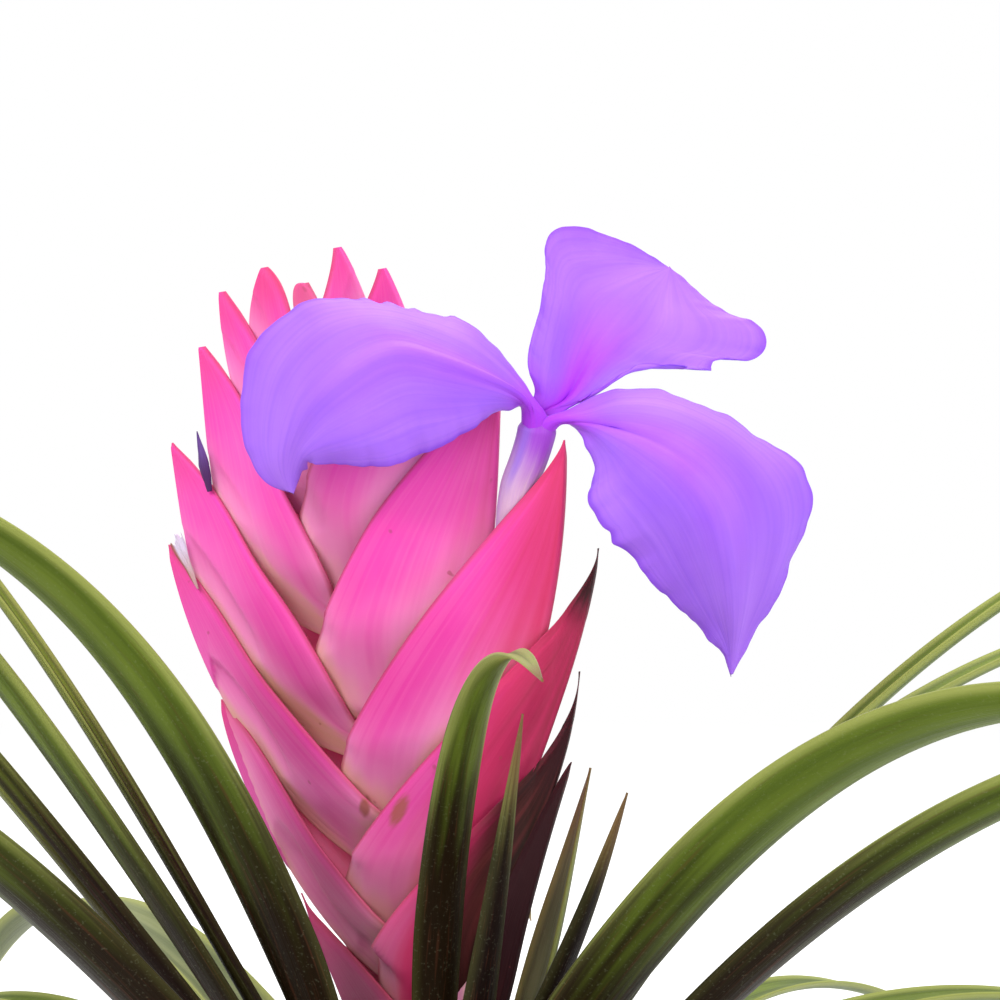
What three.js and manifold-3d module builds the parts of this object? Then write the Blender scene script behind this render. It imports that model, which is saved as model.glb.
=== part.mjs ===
import * as THREE from 'three';
import Module from 'manifold-3d';

// Pink quill: a rosette of arching channelled leaves on a short cut stem, a flat two-ranked
// spike of overlapping pink bracts, and one open violet flower. Millimetres, Z up,
// X to the right and -Y toward the viewer. The origin is the middle of the cut stem's flat end.

// Rosette
const leafThickness = 0.7;
const outerLeafRadius = 17;
const leafRadiusStep = 0.5;
const lowestLeafHeight = 2;
const leafHeightStep = 0.7;
const sheathAngle = 33;
const sheathLength = 36;
const foldAngle = 52;
const tipHalfWidth = 0.35;

// Stem
const stemGap = 0.25;
const stemTopHeight = 20;
const stemTopRadius = 3.2;

// Spike of bracts
const spikeOrigin = new THREE.Vector3(3.9, 0, 42.8);
const spikeLean = 9.9;
const spikeYaw = 30;
const footBend = 6.5;
const footLength = 24;
const firstBractHeight = -22.3;
const secondBractHeight = -17;
const bractSpacing = 7.1;
const spikeHalfDepth = 6.8;
const keelReach = 14;
const keelHalfDepth = 0.45;
const flatTipLength = 24;
const openTipLength = 12;
const flowerBract = 6;
const flatTipShare = 0.22;
const bractThickness = 0.6;
const bractStep = 1;

// Bud and spent flower
const wrapHalfWidth = 0.75;
const wrapHalfDepth = 0.35;

// Each leaf: azimuth from +X, rise at the base, how far it droops, where along it the droop
// comes (late), sideways sway, length, half width and roll of the blade. The rank counts from
// the outermost leaf inward, so it is the place in the list.
const leafTable = [
  { azimuth: -98, rise: 24, droop: 49.3, length: 140, half: 5.2 },
  { azimuth: 128, rise: 25, droop: 51.8, length: 150, half: 5.2 },
  { azimuth: -20, rise: 26, droop: 54.1, length: 165, half: 5.2 },
  { azimuth: -150, rise: 27, droop: 56.7, length: 160, half: 5.4 },
  { azimuth: 58, rise: 24, droop: 50, length: 150, half: 5.2 },
  { azimuth: -68, rise: 30, droop: 64.1, length: 150, half: 5.2 },
  { azimuth: 160, rise: 31, droop: 56, length: 170, half: 5.2 },
  { azimuth: 85, rise: 33, droop: 58, length: 160, half: 5.2 },
  { azimuth: -122, rise: 34, droop: 64, length: 155, half: 5.2 },
  { azimuth: 36, rise: 26, droop: 56, length: 150, half: 5.2 },
  { azimuth: -48, rise: 38, droop: 74, length: 155, half: 5 },
  { azimuth: 125, rise: 32, droop: 78, late: 1.15, sway: -10, length: 155, half: 6.5, roll: 6,
    tint: 'shade' },
  { azimuth: 217, rise: 48, droop: 82, late: 1.5, length: 215, half: 6.6, roll: 18 },
  { azimuth: -22, rise: 48, droop: 135, late: 1.4, sway: -1, length: 225, half: 6.2, roll: -27 },
  { azimuth: 177, rise: 52, droop: 75, late: 2, sway: -2, length: 220, half: 4, roll: -13 },
  { azimuth: 29, rise: 55, droop: 70, late: 0.85, length: 215, half: 4.4, roll: -10 },
  { azimuth: 194, rise: 58, droop: 130, late: 2.1, length: 225, half: 4.7, roll: 17 },
  { azimuth: 11, rise: 56, droop: 62, late: 1.1, length: 215, half: 4.3, roll: -7 },
  { azimuth: 184, rise: 61, droop: 140, late: 2.1, sway: 1, length: 225, half: 2.8, roll: -12 },
  { azimuth: -46, rise: 51, droop: 140, late: 1.4, sway: 2, length: 225, half: 7, roll: -20 },
  { azimuth: 209, rise: 67, droop: 160, late: 1.65, sway: -10, length: 200, half: 7.4, roll: 15 },
  { azimuth: 97, rise: 62, droop: 96, length: 165, half: 4.8 },
  { azimuth: -62, rise: 69, droop: -7, late: 0.84, sway: 2, length: 62, half: 2.8, sheath: 24,
    tint: 'dark' },
  { azimuth: 20, rise: 56, droop: -23, late: 0.5, sway: -16, length: 51, half: 6.4, roll: 2,
    sheath: 26, tint: 'shade' },
  { azimuth: -81, rise: 82, droop: 82, late: 0.8, sway: -5, length: 140, half: 3.5, roll: 12,
    sheath: 24 },
  { azimuth: -27, rise: 56, droop: -15, late: 0.85, sway: -4, length: 52, half: 3, roll: -17,
    sheath: 26, tint: 'dark' },
];

// Each bract, from the lowest up, across and up in the plane of the spike: side (+1 right,
// -1 left), tip, and the two handles each of its keel and of its free margin. The spike's inner
// axis stands at zero across.
const bractTable = [
  { side: 1, tip: [20.7, 23.9], keel: [[3, -9], [11, 6.5]], margin: [[-7.5, -13], [14.5, 18.5]] },
  { side: -1, tip: [-20.8, 10.5], keel: [[-17, -14.5], [-17.5, -2]], margin: [[3, -5], [-18.5, 2.5]] },
  { side: 1, tip: [23.9, 34.5], keel: [[4.5, 7], [18, 15.5]], margin: [[-31, 2], [21.5, 19.5]] },
  { side: -1, tip: [-27.5, 35.6], keel: [[-15, -5], [-28.5, 22.5]], margin: [[-7.5, 8], [-19, 25]] },
  { side: 1, tip: [29.2, 48.6], keel: [[9, 15], [23, 31]], margin: [[-34, 12], [28.5, 38.5]] },
  { side: -1, tip: [-31.2, 55.6], keel: [[-18, 14.5], [-31, 35]], margin: [[-10, 31], [-22, 43]] },
  { side: 1, tip: [27.2, 61.6], keel: [[15.5, 26], [24.5, 44.5]], margin: [[-29, 18.5], [25, 56.5]] },
  { side: -1, tip: [-27.9, 68.1], keel: [[-29, 32.5], [-30, 45]], margin: [[-19.5, 35], [9.5, 27]] },
  { side: 1, tip: [20.1, 69.9], keel: [[14.5, 41.5], [17, 57]], margin: [[-25, 33], [7, 65]] },
  { side: -1, tip: [-21.2, 79.2], keel: [[-26.5, 47.5], [-24, 59]], margin: [[-18.5, 53.5], [9, 36]] },
  { side: 1, tip: [13.7, 76.9], keel: [[11, 53], [14.5, 64.5]], margin: [[-20, 49], [0, 74]] },
  { side: -1, tip: [-16.8, 85.4], keel: [[-15, 57], [-19.5, 70.5]], margin: [[-1.5, 58.5], [-10.5, 76.5]] },
  { side: 1, tip: [7.1, 84.8], keel: [[10.5, 62], [11.5, 72.5]], margin: [[-9, 66.5], [4, 80]] },
  { side: -1, tip: [-10.1, 87.4], keel: [[-11, 65.5], [-18.5, 76.5]], margin: [[-7, 64.5], [-4.5, 83]] },
  { side: 1, tip: [1.4, 88.2], keel: [[5.5, 67.5], [5.5, 79]], margin: [[-10.5, 72], [-1.5, 80.5]] },
  { side: -1, tip: [-4.7, 84.7], keel: [[-6, 70], [-8.5, 86.5]], margin: [[-0.5, 69], [0.5, 74.5]] },
];

// The flower tube's centre line as [x, toward the viewer, z, radius], foot to throat
const tubeLine = [
  [9.7, 9.4, 96.1, 1],
  [10.3, 9.8, 98.7, 1.3],
  [11.1, 10.3, 102, 1.6],
  [12, 10.8, 105, 1.8],
  [13.2, 11.2, 108, 2],
  [13.9, 11.5, 110.2, 2.2],
];
const clawHalfAngle = 66;

// Petals: three edge lines each, from the throat out, as [x, toward the viewer, z]
const petalTable = [
  {
    angle: 75,
    left: [[11.7, 11, 115.1], [6.7, 12, 119.7], [2, 12, 122], [-2, 12, 122.8], [-7.6, 11, 123.4],
      [-13.2, 10, 123.6], [-17.3, 9, 121.3], [-20.3, 8.5, 116.9], [-21.5, 8.5, 110.8],
      [-20.6, 9, 105.2], [-18, 9, 102.1], [-15.2, 10, 101.1]],
    middle: [[12.1, 14, 113.7], [8.1, 17, 115.4], [2.1, 19, 117.9], [-2.9, 19.5, 118.7],
      [-7.1, 19, 116.6], [-10.5, 18, 113.7], [-13.1, 16, 110.9], [-15.2, 13, 106.6],
      [-15.8, 11, 103.4], [-15.2, 10, 101.1]],
    right: [[11.4, 13, 111.9], [8.4, 15, 110.1], [4.6, 16.5, 108.5], [0.4, 17, 106.1],
      [-4.8, 17, 104.7], [-10.1, 15.5, 104.7], [-13, 13, 104.9], [-14.1, 11, 103.6],
      [-15.2, 10, 101.1]],
  },
  {
    angle: -60,
    left: [[18.9, 11, 111.6], [22.1, 11, 113.5], [27.7, 11, 113.5], [32.9, 11, 111.2],
      [38.8, 11, 108.3], [43.4, 11, 105.3], [45.4, 10, 101.2], [44.6, 9, 96.1], [42.6, 8, 90.7],
      [39.8, 7, 85.9], [38.1, 6.5, 82.2], [36.4, 6, 79.1]],
    middle: [[19.4, 14, 109.5], [22.8, 17, 109], [27.3, 20, 107.6], [31.2, 22, 105.1],
      [34.3, 21, 101.1], [36, 18, 95.7], [36.6, 13, 88.8], [36.6, 8, 83], [36.4, 6, 79.1]],
    right: [[18.2, 12, 108.6], [19.5, 13, 106.3], [19.8, 14, 102.9], [19.2, 15, 100.6],
      [22.3, 16, 96.1], [26.4, 15, 91.7], [31.2, 12, 86.6], [35, 8, 82.6], [36.4, 6, 79.1]],
  },
  {
    angle: 180,
    left: [[13.3, 9, 112.9], [12.2, 9, 115.7], [12.6, 8, 119], [13.7, 7, 122.7],
      [14.4, 6, 126.6], [14.3, 5, 130.1], [15.6, 4, 132.1], [19.7, 3.5, 131.9],
      [24.2, 3, 130.3], [27.4, 2.5, 128.5], [29.2, 1.5, 127.4]],
    middle: [[16.7, 9.5, 112.2], [19.3, 9, 117], [21.8, 7.5, 120.6], [24.9, 5.5, 123.9],
      [27.4, 3.5, 126], [29.2, 1.5, 127.4]],
    right: [[17.8, 10, 111.6], [20.7, 10.5, 113.4], [25.9, 10, 116], [30.3, 9, 116.2],
      [32.7, 8, 115], [34.2, 7.5, 116.5], [38.7, 6.5, 116.5], [40.6, 6, 118.3],
      [39.4, 5, 120.6], [35.3, 4, 122.4], [31.8, 2.5, 125.3], [29.2, 1.5, 127.4]],
  },
];
const petalThickness = 0.7;

const wasm = await Module();
wasm.setup();

const radians = (degrees) => degrees * Math.PI / 180;
const clamp = (x, low, high) => Math.min(Math.max(x, low), high);
const mix = (a, b, k) => a + (b - a) * k;

function smooth(x) {
  const t = clamp(x, 0, 1);
  return t * t * (3 - 2 * t);
}

function range(count) {
  return Array.from({ length: count + 1 }, (_, i) => i / count);
}

// Closed sheet between two grids of points with the same rows and columns, front faces outward
function sheetSolid(front, back) {
  const rows = front.length;
  const columns = front[0].length;
  const points = [...front.flat(), ...back.flat()];
  const triangles = [];
  const quad = (a, b, c, d) => triangles.push(a, b, c, a, c, d);
  const f = (i, j) => i * columns + j;
  const g = (i, j) => rows * columns + i * columns + j;
  for (let i = 0; i + 1 < rows; i += 1) {
    for (let j = 0; j + 1 < columns; j += 1) {
      quad(f(i, j), f(i, j + 1), f(i + 1, j + 1), f(i + 1, j));
      triangles.push(g(i, j), g(i + 1, j + 1), g(i, j + 1));
      triangles.push(g(i, j), g(i + 1, j), g(i + 1, j + 1));
    }
    quad(f(i, 0), f(i + 1, 0), g(i + 1, 0), g(i, 0));
    const last = columns - 1;
    quad(f(i + 1, last), f(i, last), g(i, last), g(i + 1, last));
  }
  for (let j = 0; j + 1 < columns; j += 1) {
    const last = rows - 1;
    quad(f(0, j + 1), f(0, j), g(0, j), g(0, j + 1));
    quad(f(last, j), f(last, j + 1), g(last, j + 1), g(last, j));
  }
  return { points, triangles };
}

// Closed tube through rings of points, with a fan over each end
function ringSolid(rings) {
  const sides = rings[0].length;
  const points = rings.flat();
  const triangles = [];
  for (let i = 0; i + 1 < rings.length; i += 1) {
    for (let j = 0; j < sides; j += 1) {
      const a = i * sides + j;
      const b = i * sides + (j + 1) % sides;
      triangles.push(a, b, b + sides, a, b + sides, a + sides);
    }
  }
  const end = (rings.length - 1) * sides;
  for (let j = 1; j + 1 < sides; j += 1) {
    triangles.push(0, j + 1, j, end, end + j, end + j + 1);
  }
  return { points, triangles };
}

function volumeOf({ points, triangles }) {
  let sum = 0;
  for (let i = 0; i < triangles.length; i += 3) {
    const [a, b, c] = [points[triangles[i]], points[triangles[i + 1]], points[triangles[i + 2]]];
    sum += a.dot(new THREE.Vector3().crossVectors(b, c)) / 6;
  }
  return sum;
}

function manifoldOf(solid) {
  const { points, triangles } = solid;
  const flip = volumeOf(solid) < 0;
  const triVerts = new Uint32Array(triangles);
  if (flip) {
    for (let i = 0; i < triVerts.length; i += 3) {
      [triVerts[i + 1], triVerts[i + 2]] = [triVerts[i + 2], triVerts[i + 1]];
    }
  }
  const vertProperties = new Float32Array(points.flatMap((p) => [p.x, p.y, p.z]));
  return new wasm.Manifold(new wasm.Mesh({ numProp: 3, vertProperties, triVerts }));
}

function geometryOf(manifold) {
  const mesh = manifold.getMesh();
  const geometry = new THREE.BufferGeometry();
  const positions = new Float32Array(mesh.vertProperties);
  geometry.setAttribute('position', new THREE.BufferAttribute(positions, 3));
  geometry.setIndex(new THREE.BufferAttribute(new Uint32Array(mesh.triVerts), 1));
  geometry.computeVertexNormals();
  return geometry;
}

const group = new THREE.Group();

function addNode(name, manifold, color, roughness) {
  const material = new THREE.MeshStandardMaterial({ color, roughness, metalness: 0 });
  const mesh = new THREE.Mesh(geometryOf(manifold), material);
  mesh.name = name;
  group.add(mesh);
}

// Leaves. The centre line leaves its sheath at the rise angle and bends over with the droop;
// the section is an arc, open upward, that wraps the stem at the sheath.
function leafLine(leaf, rank, shares) {
  const radius = outerLeafRadius - leafRadiusStep * rank;
  const { azimuth, rise, droop, length, late = 1, sway = 0, roll = 0 } = leaf;
  const heading = (t) => radians(azimuth + sway * t * t);
  const direction = (t) => {
    const lift = radians(rise - droop * smooth(t ** late));
    const turn = heading(t);
    return new THREE.Vector3(
      Math.cos(lift) * Math.cos(turn),
      Math.cos(lift) * Math.sin(turn),
      Math.sin(lift),
    );
  };
  const point = new THREE.Vector3(
    radius * Math.cos(radians(azimuth)),
    radius * Math.sin(radians(azimuth)),
    lowestLeafHeight + leafHeightStep * rank,
  );
  const steps = 48;
  const line = [point.clone()];
  for (let i = 0; i < steps; i += 1) {
    point.addScaledVector(direction((i + 0.5) / steps), length / steps);
    line.push(point.clone());
  }
  return shares.map((t) => {
    const place = t * steps;
    const i = Math.min(Math.floor(place), steps - 1);
    const centre = line[i].clone().lerp(line[i + 1], place - i);
    const along = direction(t);
    const turn = heading(t);
    const flatSide = new THREE.Vector3(-Math.sin(turn), Math.cos(turn), 0);
    const flatUp = new THREE.Vector3().crossVectors(along, flatSide);
    const twist = radians(roll) * smooth(t / 0.35);
    const side = flatSide.clone().multiplyScalar(Math.cos(twist));
    side.addScaledVector(flatUp, Math.sin(twist));
    const up = flatUp.clone().multiplyScalar(Math.cos(twist));
    up.addScaledVector(flatSide, -Math.sin(twist));
    return { centre, side, up };
  });
}

function leafSection(leaf, rank, t) {
  const radius = outerLeafRadius - leafRadiusStep * rank;
  const { length, half, sheath = sheathAngle } = leaf;
  const blend = smooth(t * length / sheathLength);
  const blade = half * Math.max(1 - t ** 1.7, 0) ** 0.85;
  return {
    half: Math.max(mix(radians(sheath) * radius, blade, blend), tipHalfWidth),
    arc: mix(radians(sheath), radians(foldAngle) * (1 - 0.4 * t), blend),
  };
}

function leafSolid(leaf, rank, lengthSteps, widthSteps) {
  const shares = range(lengthSteps).map((s) => s ** 1.15);
  const frames = leafLine(leaf, rank, shares);
  const upper = [];
  const lower = [];
  frames.forEach(({ centre, side, up }, i) => {
    const { half, arc } = leafSection(leaf, rank, shares[i]);
    const bend = half / arc;
    const rowUp = [];
    const rowLow = [];
    for (const s of range(widthSteps)) {
      const angle = (2 * s - 1) * arc;
      const across = bend * Math.sin(angle);
      const lift = bend * (1 - Math.cos(angle));
      const point = centre.clone().addScaledVector(side, across).addScaledVector(up, lift);
      const normal = up.clone().multiplyScalar(Math.cos(angle));
      normal.addScaledVector(side, -Math.sin(angle));
      rowUp.push(point.clone().addScaledVector(normal, leafThickness / 2));
      rowLow.push(point.clone().addScaledVector(normal, -leafThickness / 2));
    }
    upper.push(rowUp);
    lower.push(rowLow);
  });
  return sheetSolid(upper, lower);
}

const leafColors = { green: 0x5f7a2c, shade: 0x66734a, dark: 0x3a2a20 };
leafTable.forEach((leaf, rank) => {
  const solid = manifoldOf(leafSolid(leaf, rank, leaf.length > 100 ? 13 : 8, 4));
  const name = `leaf_${String(rank + 1).padStart(2, '0')}`;
  addNode(name, solid, leafColors[leaf.tint ?? 'green'], 0.5);
});

// Stem: a short cone between the leaf bases, cut flat at the bottom
const stemProfile = [
  new THREE.Vector2(0, 0),
  new THREE.Vector2(outerLeafRadius - 1.6, 0),
  new THREE.Vector2(outerLeafRadius - leafThickness / 2 - stemGap, lowestLeafHeight),
  new THREE.Vector2(stemTopRadius + 0.7, stemTopHeight - 1.2),
  new THREE.Vector2(stemTopRadius, stemTopHeight),
  new THREE.Vector2(0, stemTopHeight),
];

function turned(profile, sides) {
  const rings = profile.filter((p) => p.x > 0).map((p) => {
    return range(sides).slice(0, sides).map((s) => {
      const angle = 2 * Math.PI * s;
      return new THREE.Vector3(p.x * Math.cos(angle), p.x * Math.sin(angle), p.y);
    });
  });
  return ringSolid(rings);
}

addNode('rosette_stem', manifoldOf(turned(stemProfile, 28)), 0x7a6a45, 0.85);

// Plane of the spike: across, up along the leaning axis, and out of the plane toward the front
const lean = radians(spikeLean);
const yaw = radians(spikeYaw);
const acrossFlat = new THREE.Vector3(Math.cos(lean), 0, Math.sin(lean));
const toViewer = new THREE.Vector3(0, -1, 0);
const acrossAxis = acrossFlat.clone().multiplyScalar(Math.cos(yaw));
acrossAxis.addScaledVector(toViewer, Math.sin(yaw));
const upAxis = new THREE.Vector3(-Math.sin(lean), 0, Math.cos(lean));
const outAxis = toViewer.clone().multiplyScalar(Math.cos(yaw));
outAxis.addScaledVector(acrossFlat, -Math.sin(yaw));

// A point of the spike, whose foot bends over to the stem below the leaves' tops
function spikePoint(u, v, w) {
  const bend = footBend * clamp(-v / footLength, 0, 1.2) ** 2;
  const point = spikeOrigin.clone().addScaledVector(acrossAxis, u);
  point.addScaledVector(upAxis, v).addScaledVector(outAxis, w);
  point.x -= bend;
  return point;
}

function bezier(points, t) {
  const s = 1 - t;
  const weights = [s * s * s, 3 * t * s * s, 3 * t * t * s, t * t * t];
  return [0, 1].map((axis) => weights.reduce((sum, w, i) => sum + w * points[i][axis], 0));
}

function bractFoot(k) {
  if (k === 0) return firstBractHeight;
  const lowRows = 10;
  if (k <= lowRows) return secondBractHeight + bractSpacing * (k - 1);
  const closing = [5.1, 9.1, 12.6, 15.6, 18.1];
  return bractFoot(lowRows) + closing[k - lowRows - 1];
}

function footHalfWidth(k) {
  return k <= 8 ? Math.min(1.8 + 0.8 * k, 6) : Math.max(6 - 0.55 * (k - 8), 2);
}

function footHalfDepth(k) {
  return k <= 8 ? Math.min(1.3 + 0.3 * k, 3.2) : Math.max(3.2 - 0.3 * (k - 8), 1);
}

// Keel and free margin of one bract in the plane of the spike; the upper tips are a little blunt
function bractCurves(k) {
  const { side, tip, keel, margin } = bractTable[k];
  const foot = bractFoot(k);
  const half = footHalfWidth(k);
  const blunt = k >= 9 ? 0.9 : 0.15;
  return {
    keel: [[side * half, foot], ...keel, tip],
    margin: [[-side * half * 0.4, foot], ...margin, [tip[0] - side * blunt, tip[1]]],
  };
}

// Nearest distance from a point to a line of points, and the side that it lies on
function distanceTo(line, [x, y]) {
  let best = Infinity;
  let sign = 1;
  for (let i = 0; i + 1 < line.length; i += 1) {
    const [ax, ay] = line[i];
    const dx = line[i + 1][0] - ax;
    const dy = line[i + 1][1] - ay;
    const t = clamp(((x - ax) * dx + (y - ay) * dy) / (dx * dx + dy * dy + 1e-12), 0, 1);
    const distance = Math.hypot(x - ax - dx * t, y - ay - dy * t);
    if (distance < best) {
      best = distance;
      sign = Math.sign(dx * (y - ay) - dy * (x - ax));
    }
  }
  return [best, sign];
}

function extended(line, before, after) {
  const stretch = ([ax, ay], [bx, by], length) => {
    const size = Math.hypot(ax - bx, ay - by);
    return [ax + (ax - bx) / size * length, ay + (ay - by) / size * length];
  };
  const n = line.length;
  const start = stretch(line[0], line[1], before);
  const end = stretch(line[n - 1], line[n - 2], after);
  return [start, ...line, end];
}

const bractLines = bractTable.map((_, k) => {
  const { keel, margin } = bractCurves(k);
  return {
    keel: range(20).map((t) => bezier(keel, t)),
    margin: extended(range(20).map((t) => bezier(margin, t)), 12, 25),
  };
});

// Half depth of the whole spike at a point of its plane
function spikeDepth([u, v]) {
  const acrossFall = 1 - 0.3 * ((u + 3) / 30) ** 2;
  const topFall = 1 - 0.45 * clamp((v - 35) / 55, 0, 2) ** 2;
  const footFall = 1 - 0.5 * clamp((5 - v) / 30, 0, 1) ** 1.2;
  return spikeHalfDepth * acrossFall * topFall * footFall;
}

// A bract's own bulge: shut at its keel, full a keel's reach inward, and flat toward its tip,
// less so where a flower stands in its fold
function ownDepth(k, point) {
  const [distance, sign] = distanceTo(bractLines[k].keel, point);
  const inside = sign * bractTable[k].side > 0 ? distance : -distance;
  const whole = spikeDepth(point);
  const low = footHalfDepth(k);
  const full = Math.min(whole, mix(low, whole, smooth((point[1] - bractFoot(k)) / 12)));
  const { tip } = bractTable[k];
  const toTip = Math.hypot(point[0] - tip[0], point[1] - tip[1]);
  const tipLength = k === flowerBract ? openTipLength : flatTipLength;
  const flat = mix(flatTipShare, 1, smooth(toTip / tipLength));
  const rounding = (1 - clamp(1 - Math.max(inside, 0) / keelReach, 0, 1) ** 1.5) * flat;
  return { depth: keelHalfDepth + (full - keelHalfDepth) * rounding, inside };
}

// Depth of bract k, held one step under every lower bract that lies over it
function bractDepth(k, point) {
  let limit = Infinity;
  for (let i = 0; i <= k; i += 1) {
    const own = ownDepth(i, point);
    const depth = Math.min(own.depth, limit);
    if (i === k) return Math.max(depth, 0.35);
    const [distance, sign] = distanceTo(bractLines[i].margin, point);
    const beyond = sign * bractTable[i].side > 0 ? distance : -distance;
    const covered = (1 - smooth((beyond - 1) / 8)) * smooth(own.inside + 0.5);
    limit = Math.min(limit, depth - bractStep * covered + 8 * (1 - covered) ** 2);
  }
  return 0;
}

// One bract is a folded sheet: the front half from margin to keel, and its mirror behind, which
// is narrower toward the tip
function bractSolid(k, lengthSteps, halfSteps) {
  const { keel, margin } = bractCurves(k);
  const outer = [];
  const inner = [];
  for (const t of range(lengthSteps)) {
    const share = 1 - (1 - t) ** 1.25;
    const onKeel = bezier(keel, share);
    const onMargin = bezier(margin, share);
    const width = Math.hypot(onMargin[0] - onKeel[0], onMargin[1] - onKeel[1]);
    const pinch = Math.min(bractThickness / Math.max(width, 1e-6), 0.6);
    const rowOut = [];
    const rowIn = [];
    for (let j = -halfSteps; j <= halfSteps; j += 1) {
      const q = Math.max(Math.abs(j) / halfSteps, 0.02);
      const face = j <= 0 ? 1 : -1;
      const reach = j <= 0 ? 1 : 1 - 0.28 * smooth((share - 0.45) / 0.4);
      const at = (s) => [0, 1].map((axis) => mix(onKeel[axis], onMargin[axis], s * reach));
      const place = at(q);
      const depth = bractDepth(k, place);
      rowOut.push(spikePoint(place[0], place[1], j === 0 ? 0 : face * depth));
      const innerPlace = at(j === 0 ? pinch : Math.max(q, pinch));
      const innerDepth = j === 0 ? 0 : Math.max(depth - bractThickness, 0.12);
      rowIn.push(spikePoint(innerPlace[0], innerPlace[1], face * innerDepth));
    }
    outer.push(rowOut);
    inner.push(rowIn);
  }
  return sheetSolid(outer, inner);
}

// The spike's inner axis, as wide and deep at each bract's foot as that foot
function spikeNode() {
  const inner = ringSolid(bractTable.map((_, k) => range(10).slice(0, 10).map((s) => {
    const angle = 2 * Math.PI * s;
    const halfWide = footHalfWidth(k) + 0.3;
    const halfDeep = footHalfDepth(k) - 0.1;
    const height = bractFoot(k) + (k === 0 ? 0 : 0.5);
    return spikePoint(halfWide * Math.cos(angle), height, halfDeep * Math.sin(angle));
  })));
  let whole = manifoldOf(inner);
  bractTable.forEach((_, k) => {
    whole = whole.add(manifoldOf(bractSolid(k, 9, 4)));
  });
  return whole;
}

addNode('flower_spike', spikeNode(), 0xec5a92, 0.5);

// Flower. Points along a line through given points, evenly spaced by length.
function curvePoints(points, count) {
  return new THREE.CatmullRomCurve3(points, false, 'centripetal').getSpacedPoints(count);
}

const placed = ([x, toward, z]) => new THREE.Vector3(x, -toward, z);
const tubeCentres = tubeLine.map(placed);

function tubePoint(i, angle, radius) {
  const before = tubeCentres[Math.max(i - 1, 0)];
  const after = tubeCentres[Math.min(i + 1, tubeCentres.length - 1)];
  const axis = after.clone().sub(before).normalize();
  const front = toViewer.clone().addScaledVector(axis, -toViewer.dot(axis)).normalize();
  const left = new THREE.Vector3().crossVectors(front, axis);
  if (left.x > 0) left.negate();
  const point = tubeCentres[i].clone();
  point.addScaledVector(front, radius * Math.cos(radians(angle)));
  return point.addScaledVector(left, radius * Math.sin(radians(angle)));
}

// A petal: its claw is a third of the tube, then the blade spreads between its three lines
function petalGrid(petal, clawSteps, bladeSteps, widthSteps) {
  const line = (name, offset) => {
    const claw = tubeLine.map((p, i) => tubePoint(i, petal.angle + offset, p[3]));
    const blade = petal[name].map(placed);
    const first = curvePoints(claw, clawSteps);
    const rest = curvePoints([claw[claw.length - 1], ...blade], bladeSteps);
    return [...first.slice(0, clawSteps), ...rest];
  };
  const left = line('left', clawHalfAngle);
  const middle = line('middle', 0);
  const right = line('right', -clawHalfAngle);
  return middle.map((m, i) => range(widthSteps).map((s) => {
    const q = 2 * s - 1;
    const narrow = i === middle.length - 1 ? 0.25 : 0;
    const a = left[i].clone();
    const b = right[i].clone();
    a.x -= narrow;
    b.x += narrow;
    const half = b.clone().sub(a).multiplyScalar(q / 2);
    const sag = b.clone().add(a).multiplyScalar(0.5).sub(m).multiplyScalar(q * q);
    return m.clone().add(half).add(sag);
  }));
}

function thickened(grid, thickness) {
  const rows = grid.length;
  const columns = grid[0].length;
  const front = [];
  const back = [];
  for (let i = 0; i < rows; i += 1) {
    front.push([]);
    back.push([]);
    for (let j = 0; j < columns; j += 1) {
      const up = grid[Math.min(i + 1, rows - 1)][j].clone();
      up.sub(grid[Math.max(i - 1, 0)][j]);
      const row = Math.min(i, rows - 2);
      const across = grid[row][Math.min(j + 1, columns - 1)].clone();
      across.sub(grid[row][Math.max(j - 1, 0)]);
      const normal = up.cross(across).normalize().multiplyScalar(thickness / 2);
      front[i].push(grid[i][j].clone().add(normal));
      back[i].push(grid[i][j].clone().sub(normal));
    }
  }
  return sheetSolid(front, back);
}

function flowerNode() {
  const core = ringSolid(tubeLine.slice(0, 5).map((p, i) => {
    return range(9).slice(0, 9).map((s) => tubePoint(i, 360 * s, p[3] * 0.97));
  }));
  let whole = manifoldOf(core);
  for (const petal of petalTable) {
    whole = whole.add(manifoldOf(thickened(petalGrid(petal, 3, 11, 6), petalThickness)));
  }
  return whole;
}

addNode('open_flower', flowerNode(), 0x9a68f5, 0.45);

// Bud and spent flower: flat spindles that stand in the folds of two bracts on the left. Each
// profile is a list of [share of the length, share of the half width].
function spindle(start, end, profile, sides) {
  const axis = end.clone().sub(start).normalize();
  const side = acrossAxis.clone().addScaledVector(axis, -acrossAxis.dot(axis)).normalize();
  const front = axis.clone().cross(side);
  return ringSolid(profile.map(([t, k]) => range(sides).slice(0, sides).map((s) => {
    const angle = 2 * Math.PI * s;
    const point = start.clone().lerp(end, t);
    point.addScaledVector(side, wrapHalfWidth * k * Math.cos(angle));
    return point.addScaledVector(front, wrapHalfDepth * Math.min(k, 1) * Math.sin(angle));
  })));
}

const budProfile = [[0, 0.5], [0.25, 0.85], [0.55, 1], [0.8, 0.65], [1, 0.2]];
const spentProfile = [[0, 0.4], [0.35, 0.7], [0.7, 1.05], [1, 1.15]];
const bud = spindle(spikePoint(-22.2, 62.1, 2.1), spikePoint(-22.9, 69.1, 1.4), budProfile, 8);
const spent = spindle(spikePoint(-28.4, 51.6, 1.5), spikePoint(-29.1, 56.1, 1.1), spentProfile, 8);
addNode('flower_bud', manifoldOf(bud), 0x5a2d8c, 0.5);
addNode('spent_flower', manifoldOf(spent), 0xd2bdd2, 0.7);

export default group;
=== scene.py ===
import math

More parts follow.
